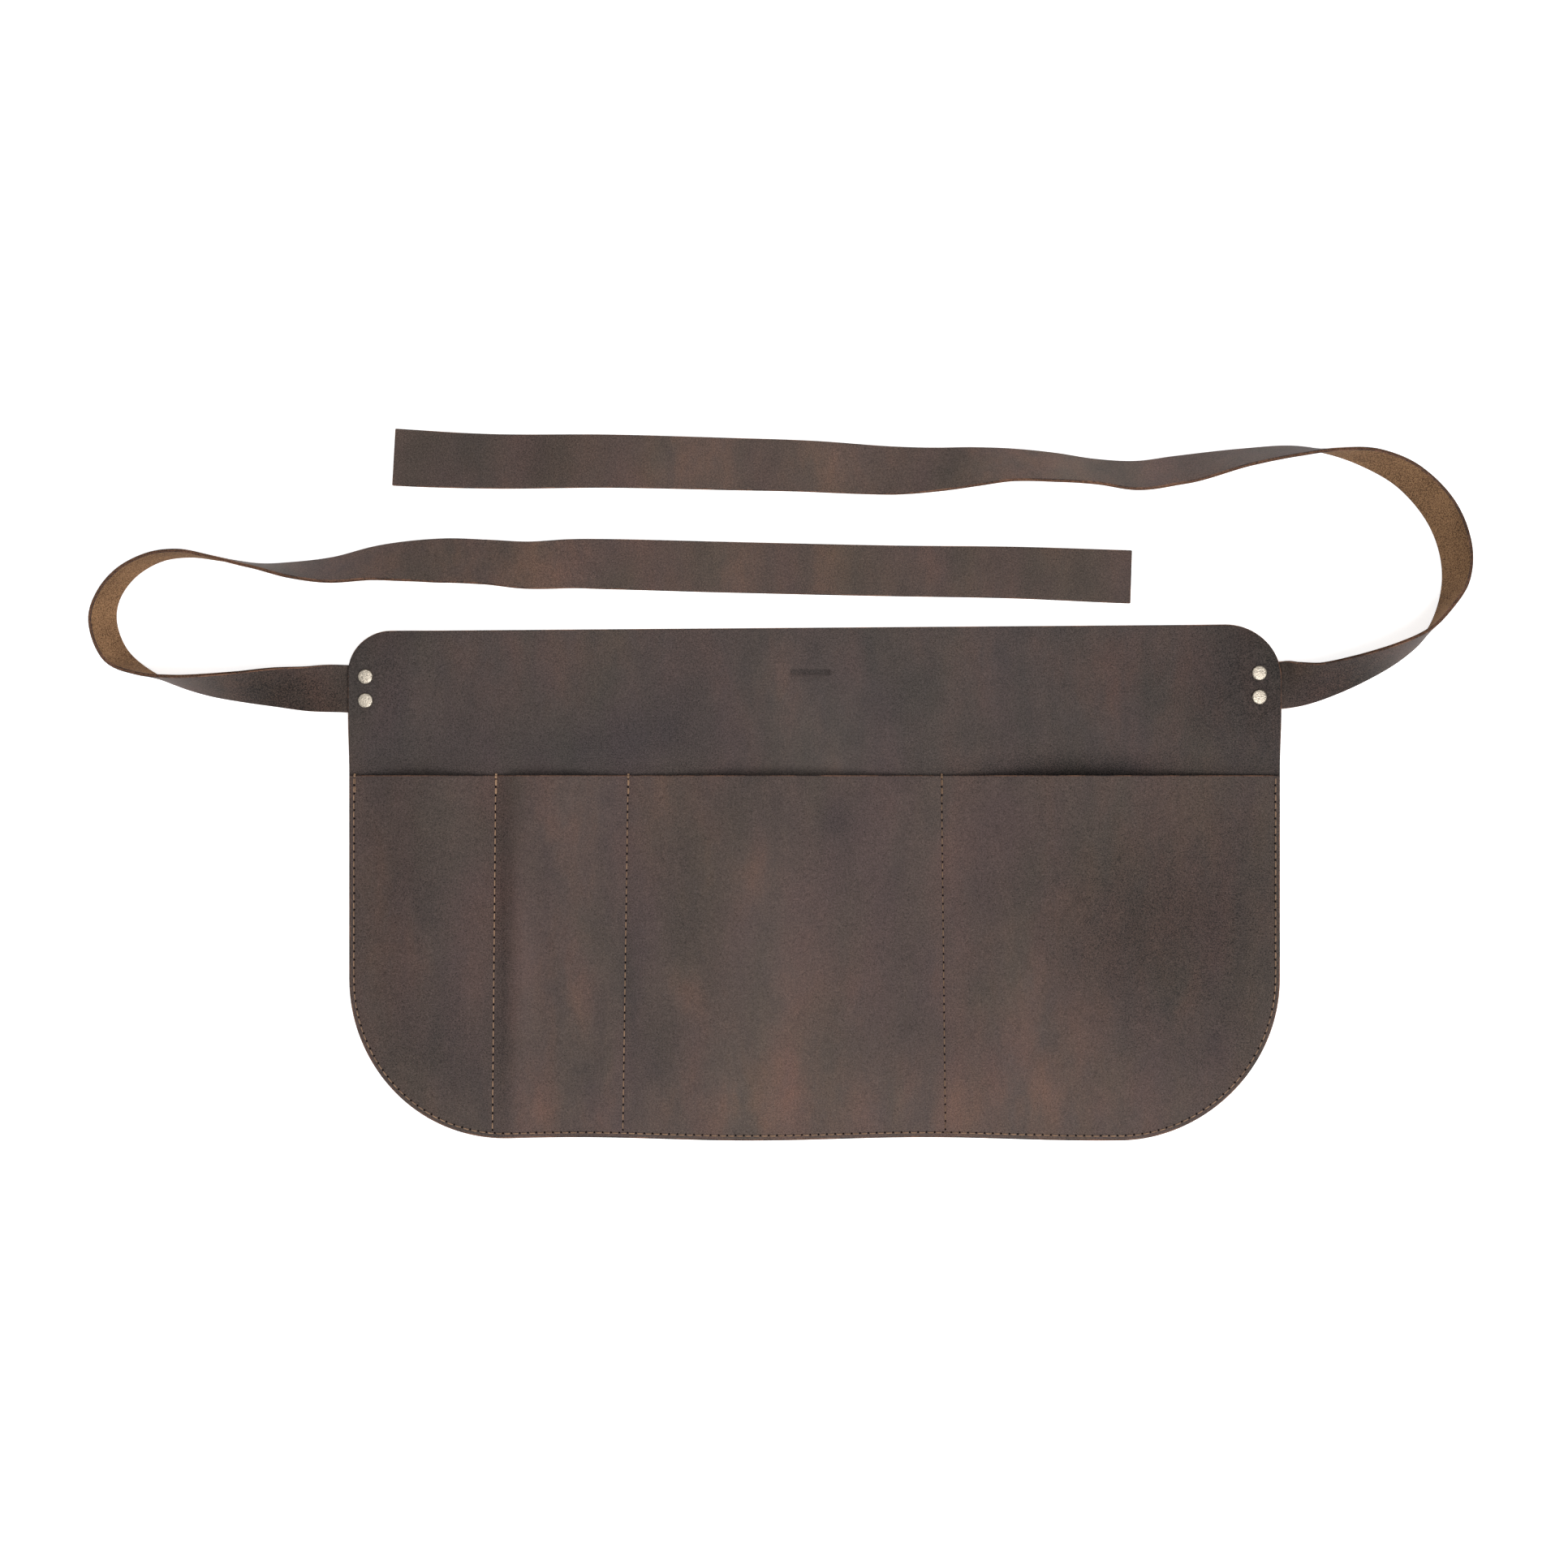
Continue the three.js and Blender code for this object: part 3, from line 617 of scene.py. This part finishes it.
def catmull_rom(points, place):
    """Point and direction on the smooth curve through the points, spaced by the root of their distance."""
    index = min(int(place), len(points) - 2)
    t = place - index
    before = points[index - 1] if index else 2 * points[0] - points[1]
    start, end = points[index], points[index + 1]
    after = points[index + 2] if index + 2 < len(points) else 2 * points[-1] - points[-2]
    spans = ((before, start), (start, end), (end, after))
    into, over, out = (max((b - a).length, LEAST_LENGTH) ** 0.5 for a, b in spans)
    leave = ((start - before) / into - (end - before) / (into + over) + (end - start) / over) * over
    reach = ((end - start) / over - (after - start) / (over + out) + (after - end) / out) * over
    square = 3 * (end - start) - 2 * leave - reach
    cube = 2 * (start - end) + leave + reach
    point = start + leave * t + square * t ** 2 + cube * t ** 3
    heading = leave + 2 * square * t + 3 * cube * t ** 2
    return point, heading.normalized()


def smooth_value(values, place):
    """Cubic through numbered values that never swings past its neighbours."""
    last = len(values) - 1

    def slope(k):
        """Slope at a value, level at the ends and wherever the values turn."""
        if k <= 0 or k >= last:
            return 0
        before, after = values[k] - values[k - 1], values[k + 1] - values[k]
        return 2 * before * after / (before + after) if before * after > 0 else 0

    k = min(int(place), last - 1)
    t = place - k
    start = (1 + 2 * t) * (1 - t) ** 2 * values[k] + t * (1 - t) ** 2 * slope(k)
    return start + t ** 2 * (3 - 2 * t) * values[k + 1] - t ** 2 * (1 - t) * slope(k + 1)


def strap_sections(tie):
    """Low edge, direction across and width of the tie at close sections along it."""
    side, half = tie["side"], BODY_WIDTH / 2
    low_y = strap_line_y(tie) - STRAP_WIDTH / 2
    rise = tie["end_y"] - low_y
    stations = [(side * x, low_y, 0, STRAP_WIDTH) for x in (half - STRAP_TUCK, half - STRAP_TUCK / 2, half)]
    stations += [(side * (half + out * tie["reach"] - back * tie["run"]), low_y + up * rise,
                  math.radians(roll), wide * STRAP_WIDTH) for out, back, up, roll, wide in tie["route"]]
    end_x = side * (half + tie["route"][-1][0] * tie["reach"] - tie["run"])
    stations.append((end_x, low_y + rise, 0, tie["end_width"]))
    points = [Vector((x, y, 0)) for x, y, roll, width in stations]
    places = []
    for k, (a, b) in enumerate(zip(points, points[1:])):
        count = math.ceil((b - a).length / SECTION_STEP)
        places += [k + step / count for step in range(count)]
    sections = []
    for place in places + [len(points) - 1]:
        low, along = catmull_rom(points, place)
        roll = smooth_value([station[2] for station in stations], place)
        width = smooth_value([station[3] for station in stations], place)
        inward = Vector((0, 0, 1)).cross(along) * side
        across = inward * math.cos(roll) + Vector((0, 0, math.sin(roll)))
        low.z = strap_lift(low.x, low.y, tie) + STRAP_LEATHER / 2 * abs(math.cos(roll))
        sections.append((low, across, width))
    return sections


def make_strap(tie, finishes):
    """A tie as a ribbon along its route: grain side, flesh side and cut edges."""
    sections = strap_sections(tie)
    deselect()
    columns, rows = len(sections) - 1, len(STRAP_ACROSS) - 1
    bpy.ops.mesh.primitive_grid_add(x_subdivisions=columns, y_subdivisions=rows, size=2)
    piece = bpy.context.object
    # The grid runs from -1 to 1 both ways
    for vertex in piece.data.vertices:
        low, across, width = sections[round((vertex.co.x + 1) / 2 * columns)]
        share = STRAP_ACROSS[round((vertex.co.y + 1) / 2 * rows)]
        vertex.co = (low + across * share * width) * MM
    piece.data.update()
    if piece.data.polygons[0].normal.z < 0:
        piece.data.flip_normals()
    give_sides(piece, finishes)
    thicken(piece, STRAP_LEATHER, 0)
    return piece


def make_rivet():
    """Back cap, post and front cap as one profile, spun round the upright axis."""
    profile = RIVET_BACK + [(radius, CAP_SEAT + height) for radius, height in RIVET_FRONT]
    points = [(radius * MM, 0, height * MM) for radius, height in profile]
    edges = [(k, k + 1) for k in range(len(profile) - 1)]
    mesh = bpy.data.meshes.new("rivet")
    mesh.from_pydata(points, edges, [])
    piece = bpy.data.objects.new("rivet", mesh)
    bpy.context.scene.collection.objects.link(piece)
    deselect()
    bpy.context.view_layer.objects.active = piece
    piece.select_set(True)
    bpy.ops.object.mode_set(mode="EDIT")
    bpy.ops.mesh.select_all(action="SELECT")
    bpy.ops.mesh.spin(steps=RIVET_STEPS, angle=2 * math.pi, center=(0, 0, 0), axis=(0, 0, 1))
    bpy.ops.mesh.select_all(action="SELECT")
    bpy.ops.mesh.remove_doubles(threshold=MERGE_DISTANCE)
    bpy.ops.mesh.normals_make_consistent(inside=False)
    stop_editing()
    return piece


def copy_of(piece, matrix):
    """A copy with a mesh of its own, which takes its place from the matrix."""
    copy = piece.copy()
    copy.data = piece.data.copy()
    copy.data.transform(matrix)
    bpy.context.scene.collection.objects.link(copy)
    return copy


def joined(pieces):
    """Makes the pieces one."""
    deselect()
    for piece in pieces:
        piece.select_set(True)
    bpy.context.view_layer.objects.active = pieces[0]
    bpy.ops.object.join()
    return pieces[0]


def make_stitch():
    """One stitch of thread: an arch a pitch long that dives into a needle hole at each end."""
    deselect()
    bpy.ops.mesh.primitive_cylinder_add(vertices=THREAD_SIDES, radius=THREAD_RADIUS * MM,
                                        depth=STITCH_PITCH * MM, rotation=(0, math.pi / 2, 0))
    piece = bpy.context.object
    bpy.ops.object.transform_apply(rotation=True)
    start_editing(piece)
    for share in STITCH_CUTS:
        bpy.ops.mesh.select_all(action="SELECT")
        bpy.ops.mesh.bisect(plane_co=(share * STITCH_PITCH * MM, 0, 0), plane_no=(1, 0, 0))
    stop_editing()
    for vertex in piece.data.vertices:
        share = abs(vertex.co.x) / (STITCH_PITCH * MM / 2)
        vertex.co.y *= 1 - STITCH_TAPER * share ** 4
        vertex.co.z = vertex.co.z * STITCH_FLATNESS + (STITCH_RISE - STITCH_DIVE * share ** 5) * MM
        vertex.co.x *= STITCH_SPAN
    return piece


def make_needle_hole():
    """A needle hole: a dish painted dark for the shade inside it, that fits into the groove."""
    deselect()
    bpy.ops.mesh.primitive_circle_add(vertices=HOLE_SIDES, radius=HOLE_RADIUS * MM,
                                      fill_type="TRIFAN")
    piece = bpy.context.object
    start_editing(piece)
    bpy.ops.mesh.inset(thickness=HOLE_RIM * MM)
    stop_editing()
    for vertex in piece.data.vertices:
        reach = math.hypot(vertex.co.x, vertex.co.y) / (HOLE_RADIUS * MM)
        vertex.co.z = (HOLE_FLOOR + HOLE_RISE * reach ** 2) * MM
    return piece


def edge_path(setback):
    """Points along the side and hem edges, from the mouth's left end round to its right end."""
    half = BODY_WIDTH / 2 - setback
    start_y = -MOUTH_DROP - EDGE_ROW_START
    around = [(x, hem_y(x, setback)) for x in edge_columns(HEM_CORNERS, setback, STITCH_ROW_STEP)]
    return [(-half, start_y), *around, (half, start_y)]


def walk(path, pitch):
    """Places about a pitch apart along a path of points, fitted to its length."""
    lengths = [math.dist(a, b) for a, b in zip(path, path[1:])]
    count = round(sum(lengths) / pitch)
    step = sum(lengths) / count
    places, index, passed = [], 0, 0
    for k in range(count + 1):
        target = min(k * step, sum(lengths) - LEAST_LENGTH)
        while passed + lengths[index] < target:
            passed += lengths[index]
            index += 1
        share = (target - passed) / lengths[index]
        a, b = path[index], path[index + 1]
        places.append((mix(a[0], b[0], share), mix(a[1], b[1], share)))
    return places


def on_panel(x, y, lift=0):
    """A point on the panel's grain side, or lifted off it."""
    return Vector((x, y, panel_top(x, y) + lift)) * MM


def between(start, end):
    """Turns and moves a stitch to lie from one point to another."""
    along = (end - start).normalized()
    side = Vector((0, 0, 1)).cross(along).normalized()
    turn = Matrix((along, side, along.cross(side))).transposed().to_4x4()
    stretch = Matrix.Scale((end - start).length / (STITCH_PITCH * MM), 4, Vector((1, 0, 0)))
    return Matrix.Translation((start + end) / 2) @ turn @ stretch


def sew(stitch, hole, holes, lean):
    """Thread and needle holes along a row of holes; the thread leans to one side of them."""
    threads, marks = [], []
    for (x, y), (next_x, next_y) in zip(holes, holes[1:]):
        length = math.dist((x, y), (next_x, next_y))
        lean_x, lean_y = (next_y - y) / length * lean, (x - next_x) / length * lean
        start = on_panel(x + lean_x, y + lean_y)
        end = on_panel(next_x + lean_x, next_y + lean_y)
        threads.append(copy_of(stitch, between(start, end)))
    for x, y in holes:
        marks.append(copy_of(hole, Matrix.Translation(on_panel(x, y))))
    return threads, marks


def fasten(stitch, holes):
    """Thread at the start of a row: stitches that are sewn twice and wraps over the mouth's edge."""
    threads = []
    for (x, y), (next_x, next_y) in zip(holes[:2], holes[1:3]):
        start = on_panel(x + BACK_STITCH_LEAN, y, BACK_STITCH_LIFT)
        end = on_panel(next_x + BACK_STITCH_LEAN, next_y, BACK_STITCH_LIFT)
        threads.append(copy_of(stitch, between(start, end)))
    x, y = holes[0]
    height = panel_top(x, y)
    for lean in WRAP_LEANS:
        start = on_panel(x + lean, y + WRAP_START[0], WRAP_START[1])
        edge, foot = (Vector((x + lean, -MOUTH_DROP + beyond, height + lift)) * MM
                      for beyond, lift in (WRAP_EDGE, WRAP_FOOT))
        threads.append(copy_of(stitch, between(start, edge)))
        threads.append(copy_of(stitch, between(edge, foot)))
    return threads


def stitch_rows():
    """Holes of the row round the edge and of the rows down the seams, each with its thread's lean."""
    edge_row = walk(edge_path(POCKET_SETBACK + STITCH_INSET + EDGE_ROW_SHIFT), STITCH_PITCH)
    rows = [(edge_row, EDGE_THREAD_LEAN)]
    start_y = -MOUTH_DROP - SEAM_START
    for mouth, hem in SEAMS:
        end_y = hem_y(hem, POCKET_SETBACK) + STITCH_INSET + SEAM_CLEARANCE
        top = (mix(mouth, hem, down_share(mouth, start_y)), start_y)
        bottom = (mix(mouth, hem, down_share(hem, end_y)), end_y)
        rows.append((walk([top, bottom], STITCH_PITCH), SEAM_THREAD_LEAN))
    return rows


def make_stitching():
    """All the thread as one piece and all the needle holes as another."""
    stitch, hole = make_stitch(), make_needle_hole()
    rows = stitch_rows()
    threads, marks = [], []
    for holes, lean in rows:
        more_threads, more_marks = sew(stitch, hole, holes, lean)
        threads += more_threads
        marks += more_marks
    for holes, _ in rows:
        threads += fasten(stitch, holes)
    thread, mark = joined(threads), joined(marks)
    for spare in (stitch, hole):
        bpy.data.objects.remove(spare)
    return thread, mark


class Finish:
    """A material in the making: adds nodes and joins them by what each input is given."""

    def __init__(self, name):
        self.material = bpy.data.materials.new(name)
        self.material.use_nodes = True
        self.tree = self.material.node_tree
        self.tree.nodes.clear()
        self.place = self.add("TexCoord").outputs["Object"]

    def add(self, kind, inputs=None, **settings):
        """Adds a node; an input is linked to a socket or takes a value."""
        node = self.tree.nodes.new("ShaderNode" + kind)
        for key, value in settings.items():
            setattr(node, key, value)
        for key, value in (inputs or {}).items():
            if isinstance(value, bpy.types.NodeSocket):
                self.tree.links.new(value, node.inputs[key])
            else:
                node.inputs[key].default_value = value
        return node

    def noise(self, scale, detail=3, roughness=0.5, distortion=0, place=None):
        """Noise round a middle of 0.5, finer as its scale grows."""
        node = self.add("TexNoise", {"Vector": place or self.place, "Scale": scale, "Detail": detail,
                                     "Roughness": roughness, "Distortion": distortion})
        return node.outputs["Fac"]

    def sum(self, start, parts):
        """Adds parts of value, weight and middle to a start; a value at its middle adds nothing."""
        total = start
        for value, weight, middle in parts:
            shifted = self.add("Math", {0: value, 1: middle}, operation="SUBTRACT").outputs[0]
            inputs = {0: shifted, 1: weight, 2: total}
            total = self.add("Math", inputs, operation="MULTIPLY_ADD").outputs[0]
        return total

    def ramp(self, value, stops):
        """Colour that goes from stop to stop with a value."""
        node = self.add("ValToRGB", {"Fac": value})
        elements = node.color_ramp.elements
        while len(elements) < len(stops):
            elements.new(0.5)
        for element, (position, tone) in zip(elements, stops):
            element.position = position
            element.color = tone
        return node.outputs["Color"]

    def times(self, tone, value):
        """A colour times a value or another colour; 6, 7 and 2 are the mix node's colour sockets."""
        node = self.add("Mix", {"Factor": 1, 6: tone, 7: value}, data_type="RGBA", blend_type="MULTIPLY")
        return node.outputs[2]

    def kept(self, name):
        """The value of that name at each vertex."""
        return self.add("Attribute", attribute_name=name, attribute_type="GEOMETRY").outputs["Fac"]

    def bump(self, height, strength, distance, under=None):
        """Fine relief by a height, over the relief under it if there is one."""
        inputs = {"Height": height, "Strength": strength, "Distance": distance}
        if under:
            inputs["Normal"] = under
        return self.add("Bump", inputs).outputs["Normal"]

    def done(self, **inputs):
        """Ends the finish with its shader; a name's underscores stand for spaces."""
        shader = self.add("BsdfPrincipled", {key.replace("_", " "): value for key, value in inputs.items()})
        self.add("OutputMaterial", {"Surface": shader.outputs["BSDF"]})
        return self.material


def linear(tone):
    """A colour by its screen values from 0 to 255."""
    return (*(((c / 255 + 0.055) / 1.055) ** 2.4 if c > 10 else c / 255 / 12.92 for c in tone), 1)


def waxed_leather(name, cool, plain, warm):
    """Pull-up leather: soft warm and cool clouds in the wax, fine dry specks and a pebbled grain."""
    finish = Finish(name)
    streaks = finish.add("Mapping", {"Vector": finish.place, "Scale": (1, 0.4, 1)}).outputs["Vector"]
    clouds = finish.noise(13, distortion=0.3, place=streaks)
    mottle = finish.noise(48, detail=4, roughness=0.6, distortion=0.2, place=streaks)
    patchy = finish.noise(85, roughness=0.6)
    specks = finish.noise(900, roughness=0.65)
    dust = finish.noise(1900, detail=2, roughness=0.6)
    hue = finish.noise(24, detail=2, distortion=0.3, place=streaks)
    uneven = finish.sum(1, [(mottle, 4, 0.5)])
    patch = finish.add("Math", {0: finish.kept("warmth"), 1: uneven}, operation="MULTIPLY").outputs[0]
    warmth = [(clouds, 0.5, 0.5), (mottle, 0.5, 0.5), (patch, 0.17, 0)]
    brightness = [(patchy, 0.3, 0.5), (specks, 1.8, 0.5), (dust, 2.6, 0.5),
                  (finish.kept("brightness"), 0.6, 0)]
    wax = [(0.1, linear(cool)), (0.4, linear(plain)), (0.9, linear(warm))]
    olive_to_rose = [(0.34, (0.94, 0.97, 0.915, 1)), (0.66, (1, 0.945, 0.98, 1))]
    tone = finish.ramp(finish.sum(0.4, warmth), wax)
    tone = finish.times(tone, finish.sum(1.04, brightness))
    tone = finish.times(tone, finish.ramp(hue, olive_to_rose))
    pebbles = finish.add("TexVoronoi", {"Vector": finish.place, "Scale": 900}).outputs["Distance"]
    normal = finish.bump(specks, strength=0.25, distance=0.0005)
    normal = finish.bump(pebbles, strength=0.18, distance=0.0003, under=normal)
    shine = finish.sum(0.66, [(clouds, -0.15, 0.5), (specks, 0.2, 0.5)])
    return finish.done(Base_Color=tone, Roughness=shine, Specular_IOR_Level=0.16, Normal=normal)


def suede(name, dark, light, scale):
    """Flesh side or the core of a cut edge: short fibres, dark and light."""
    finish = Finish(name)
    clouds = finish.noise(34)
    fibres = finish.noise(scale, detail=4, roughness=0.72, distortion=0.2)
    pits = finish.noise(scale * 0.6, roughness=0.7, distortion=0.3)
    depth = finish.sum(0.5, [(clouds, 0.5, 0.5), (fibres, 2.6, 0.5), (pits, 0.3, 0.5)])
    tone = finish.ramp(depth, [(0.2, linear(dark)), (0.75, linear(light))])
    tone = finish.times(tone, finish.sum(1, [(finish.kept("brightness"), 0.6, 0)]))
    normal = finish.bump(fibres, strength=0.45, distance=0.0006)
    return finish.done(Base_Color=tone, Roughness=0.94, Specular_IOR_Level=0.1, Normal=normal)


def burnished_edge(name, dark, light):
    """Corners of the cut edges: waxed dark, worn back to the core in places."""
    finish = Finish(name)
    rubbed, flecks = finish.noise(60), finish.noise(900, detail=2)
    worn = finish.sum(0.5, [(rubbed, 1.2, 0.5), (flecks, 0.8, 0.5)])
    tone = finish.ramp(worn, [(0.35, linear(dark)), (0.75, linear(light))])
    normal = finish.bump(finish.noise(1500, detail=2), strength=0.3, distance=0.0003)
    return finish.done(Base_Color=tone, Roughness=0.6, Specular_IOR_Level=0.25, Normal=normal)


def twisted_thread(name, dark, light):
    """Waxed thread: fine plies along it, a little darker where the wax gathers."""
    finish = Finish(name)
    plies = finish.noise(2600, detail=2, roughness=0.6)
    wax = finish.noise(150, detail=2)
    depth = finish.sum(0.5, [(plies, 0.9, 0.5), (wax, 0.6, 0.5)])
    tone = finish.ramp(depth, [(0.25, linear(dark)), (0.75, linear(light))])
    tone = finish.times(tone, finish.sum(1, [(finish.kept("brightness"), 1, 0)]))
    normal = finish.bump(plies, strength=0.5, distance=0.0003)
    return finish.done(Base_Color=tone, Roughness=0.75, Specular_IOR_Level=0.2, Normal=normal)


def needle_hole(name, tone):
    """Painted shade: the dark inside of a needle hole."""
    finish = Finish(name)
    dark = finish.times(linear(tone), finish.sum(1, [(finish.noise(1800), 0.6, 0.5)]))
    return finish.done(Base_Color=dark, Roughness=0.95, Specular_IOR_Level=0.05)


def nickel_plate(name, tone):
    """Tumbled nickel: milky, with fine dents and cloudy gloss."""
    finish = Finish(name)
    haze = finish.noise(420, roughness=0.6)
    dents = finish.noise(750, detail=2, distortion=0.3)
    plate = finish.times(linear(tone), finish.sum(1, [(haze, 0.9, 0.5)]))
    gloss = finish.sum(0.46, [(haze, 0.5, 0.5)])
    normal = finish.bump(dents, strength=0.8, distance=0.0008)
    return finish.done(Base_Color=plate, Roughness=gloss, Metallic=1.0, Normal=normal)


def floor_paint(name):
    """White matt paint that glows a little."""
    finish = Finish(name)
    tone = finish.times(linear((250, 250, 250)), finish.sum(1, [(finish.noise(4), 0.02, 0.5)]))
    return finish.done(Base_Color=tone, Roughness=0.9, Emission_Color=linear((255, 255, 255)),
                       Emission_Strength=FLOOR_GLOW)


def build_pieces():
    """Makes every piece with its finish and puts it where the frame has the apron."""
    flesh = suede("flesh_side_suede", dark=(58, 41, 29), light=(144, 110, 79), scale=1250)
    core = suede("cut_edge_core", dark=(46, 32, 26), light=(104, 75, 58), scale=1300)
    corners = burnished_edge("burnished_cut_edge", dark=(38, 27, 23), light=(114, 80, 61))
    body_grain = waxed_leather("waxed_body_grain", cool=(52, 49, 50), plain=(68, 59, 56), warm=(89, 68, 58))
    panel_grain = waxed_leather("waxed_panel_grain", cool=(55, 49, 50), plain=(72, 61, 57), warm=(92, 69, 58))
    tie_grain = waxed_leather("waxed_tie_grain", cool=(56, 50, 49), plain=(74, 62, 57), warm=(98, 73, 60))
    nickel = nickel_plate("nickel_plate", (190, 180, 165))
    thread = twisted_thread("waxed_thread", dark=(94, 74, 60), light=(160, 129, 103))
    hole = needle_hole("needle_hole_painted_shade", (14, 9, 8))

    body = make_body([body_grain, flesh, core, corners])
    store_patches(body, BODY_PATCHES, body_mark)
    finish_piece(body, "apron_body_leather")
    panel = make_panel([panel_grain, flesh, core, corners])
    store_patches(panel, PANEL_PATCHES)
    finish_piece(panel, "pocket_panel_leather")
    straps = []
    for tie, name in ((LEFT_TIE, "strap_left_leather"), (RIGHT_TIE, "strap_right_leather")):
        strap = make_strap(tie, [tie_grain, flesh, core, corners])
        store_patches(strap, TIE_PATCHES)
        straps.append(finish_piece(strap, name))
    stitching, needle_holes = make_stitching()
    store_value(stitching, "brightness", thread_painted_light)
    finish_piece(stitching, "pocket_stitching", THREAD_SMOOTH_ANGLE)
    finish_piece(needle_holes, "needle_holes", THREAD_SMOOTH_ANGLE)
    stitching.data.materials.append(thread)
    needle_holes.data.materials.append(hole)
    placed = [body, panel, *straps, stitching, needle_holes]
    rivet = make_rivet()
    for tie, word in ((LEFT_TIE, "left"), (RIGHT_TIE, "right")):
        for step, place in ((0.5, "upper"), (-0.5, "lower")):
            x = tie["side"] * (BODY_WIDTH / 2 - tie["rivet_inset"])
            y = strap_line_y(tie) + step * RIVET_PITCH
            copy = copy_of(rivet, Matrix.Translation(Vector((x, y, 0)) * MM))
            copy.data.materials.append(nickel)
            placed.append(finish_piece(copy, f"rivet_{word}_{place}_cap"))
    bpy.data.objects.remove(rivet)
    for piece in placed:
        piece.data.transform(Matrix.Translation(WAIST_MIDDLE))
        piece.data.update()
        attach(piece, "root")
    return {piece.name: piece for piece in placed}


def length_of(tie):
    """Length along the middle of a tie, in metres."""
    middles = [low + across * width / 2 for low, across, width in strap_sections(tie)]
    return sum((b - a).length for a, b in zip(middles, middles[1:])) * MM


def declare():
    """Hides the model's parts that the pieces stand in for, and works out each tie's length, which is not
    kept.
    """
    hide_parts("apron_body")
    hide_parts("pocket_panel")
    for tie, side in ((LEFT_TIE, "left"), (RIGHT_TIE, "right")):
        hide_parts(f"strap_{side}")
        length_of(tie)
        for place in ("upper", "lower"):
            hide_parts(f"rivet_{side}_{place}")


def place_camera():
    """A camera that looks straight down."""
    bpy.ops.object.camera_add(location=CAMERA_PLACE, rotation=(0, 0, 0))
    camera = bpy.context.object
    camera.name = "photo_camera"
    camera.data.lens = CAMERA_LENS
    camera.data.sensor_width = CAMERA_SENSOR
    bpy.context.scene.camera = camera


def set_stage():
    """Floor, surroundings and softboxes."""
    deselect()
    bpy.ops.mesh.primitive_plane_add(size=FLOOR_SIZE, location=(0, 0, -FLOOR_DROP))
    floor = bpy.context.object
    floor.name = "pale_floor"
    floor.data.materials.append(floor_paint("pale_floor_paint"))
    world = bpy.data.worlds.new("studio_white")
    bpy.context.scene.world = world
    world.use_nodes = True
    nodes, links = world.node_tree.nodes, world.node_tree.links
    way = nodes.new("ShaderNodeTexCoord")
    parts = nodes.new("ShaderNodeSeparateXYZ")
    height = nodes.new("ShaderNodeMapRange")
    for key, value in (("From Min", HORIZON_SPAN[0]), ("From Max", HORIZON_SPAN[1]),
                       ("To Min", HORIZON_STRENGTH), ("To Max", OVERHEAD_STRENGTH)):
        height.inputs[key].default_value = value
    background = nodes["Background"]
    background.inputs["Color"].default_value = (1, 1, 1, 1)
    links.new(way.outputs["Generated"], parts.inputs[0])
    links.new(parts.outputs["Z"], height.inputs["Value"])
    links.new(height.outputs["Result"], background.inputs["Strength"])
    for name, at, size, power in SOFTBOXES:
        bpy.ops.object.light_add(type="AREA", location=at)
        light = bpy.context.object
        light.name = name
        light.data.energy = power
        light.data.size = size
        light.rotation_euler = (-Vector(at)).to_track_quat("-Z", "Y").to_euler()
    bpy.context.scene.view_settings.view_transform = "Standard"


place_camera()
pieces = build_pieces()
declare()
set_stage()
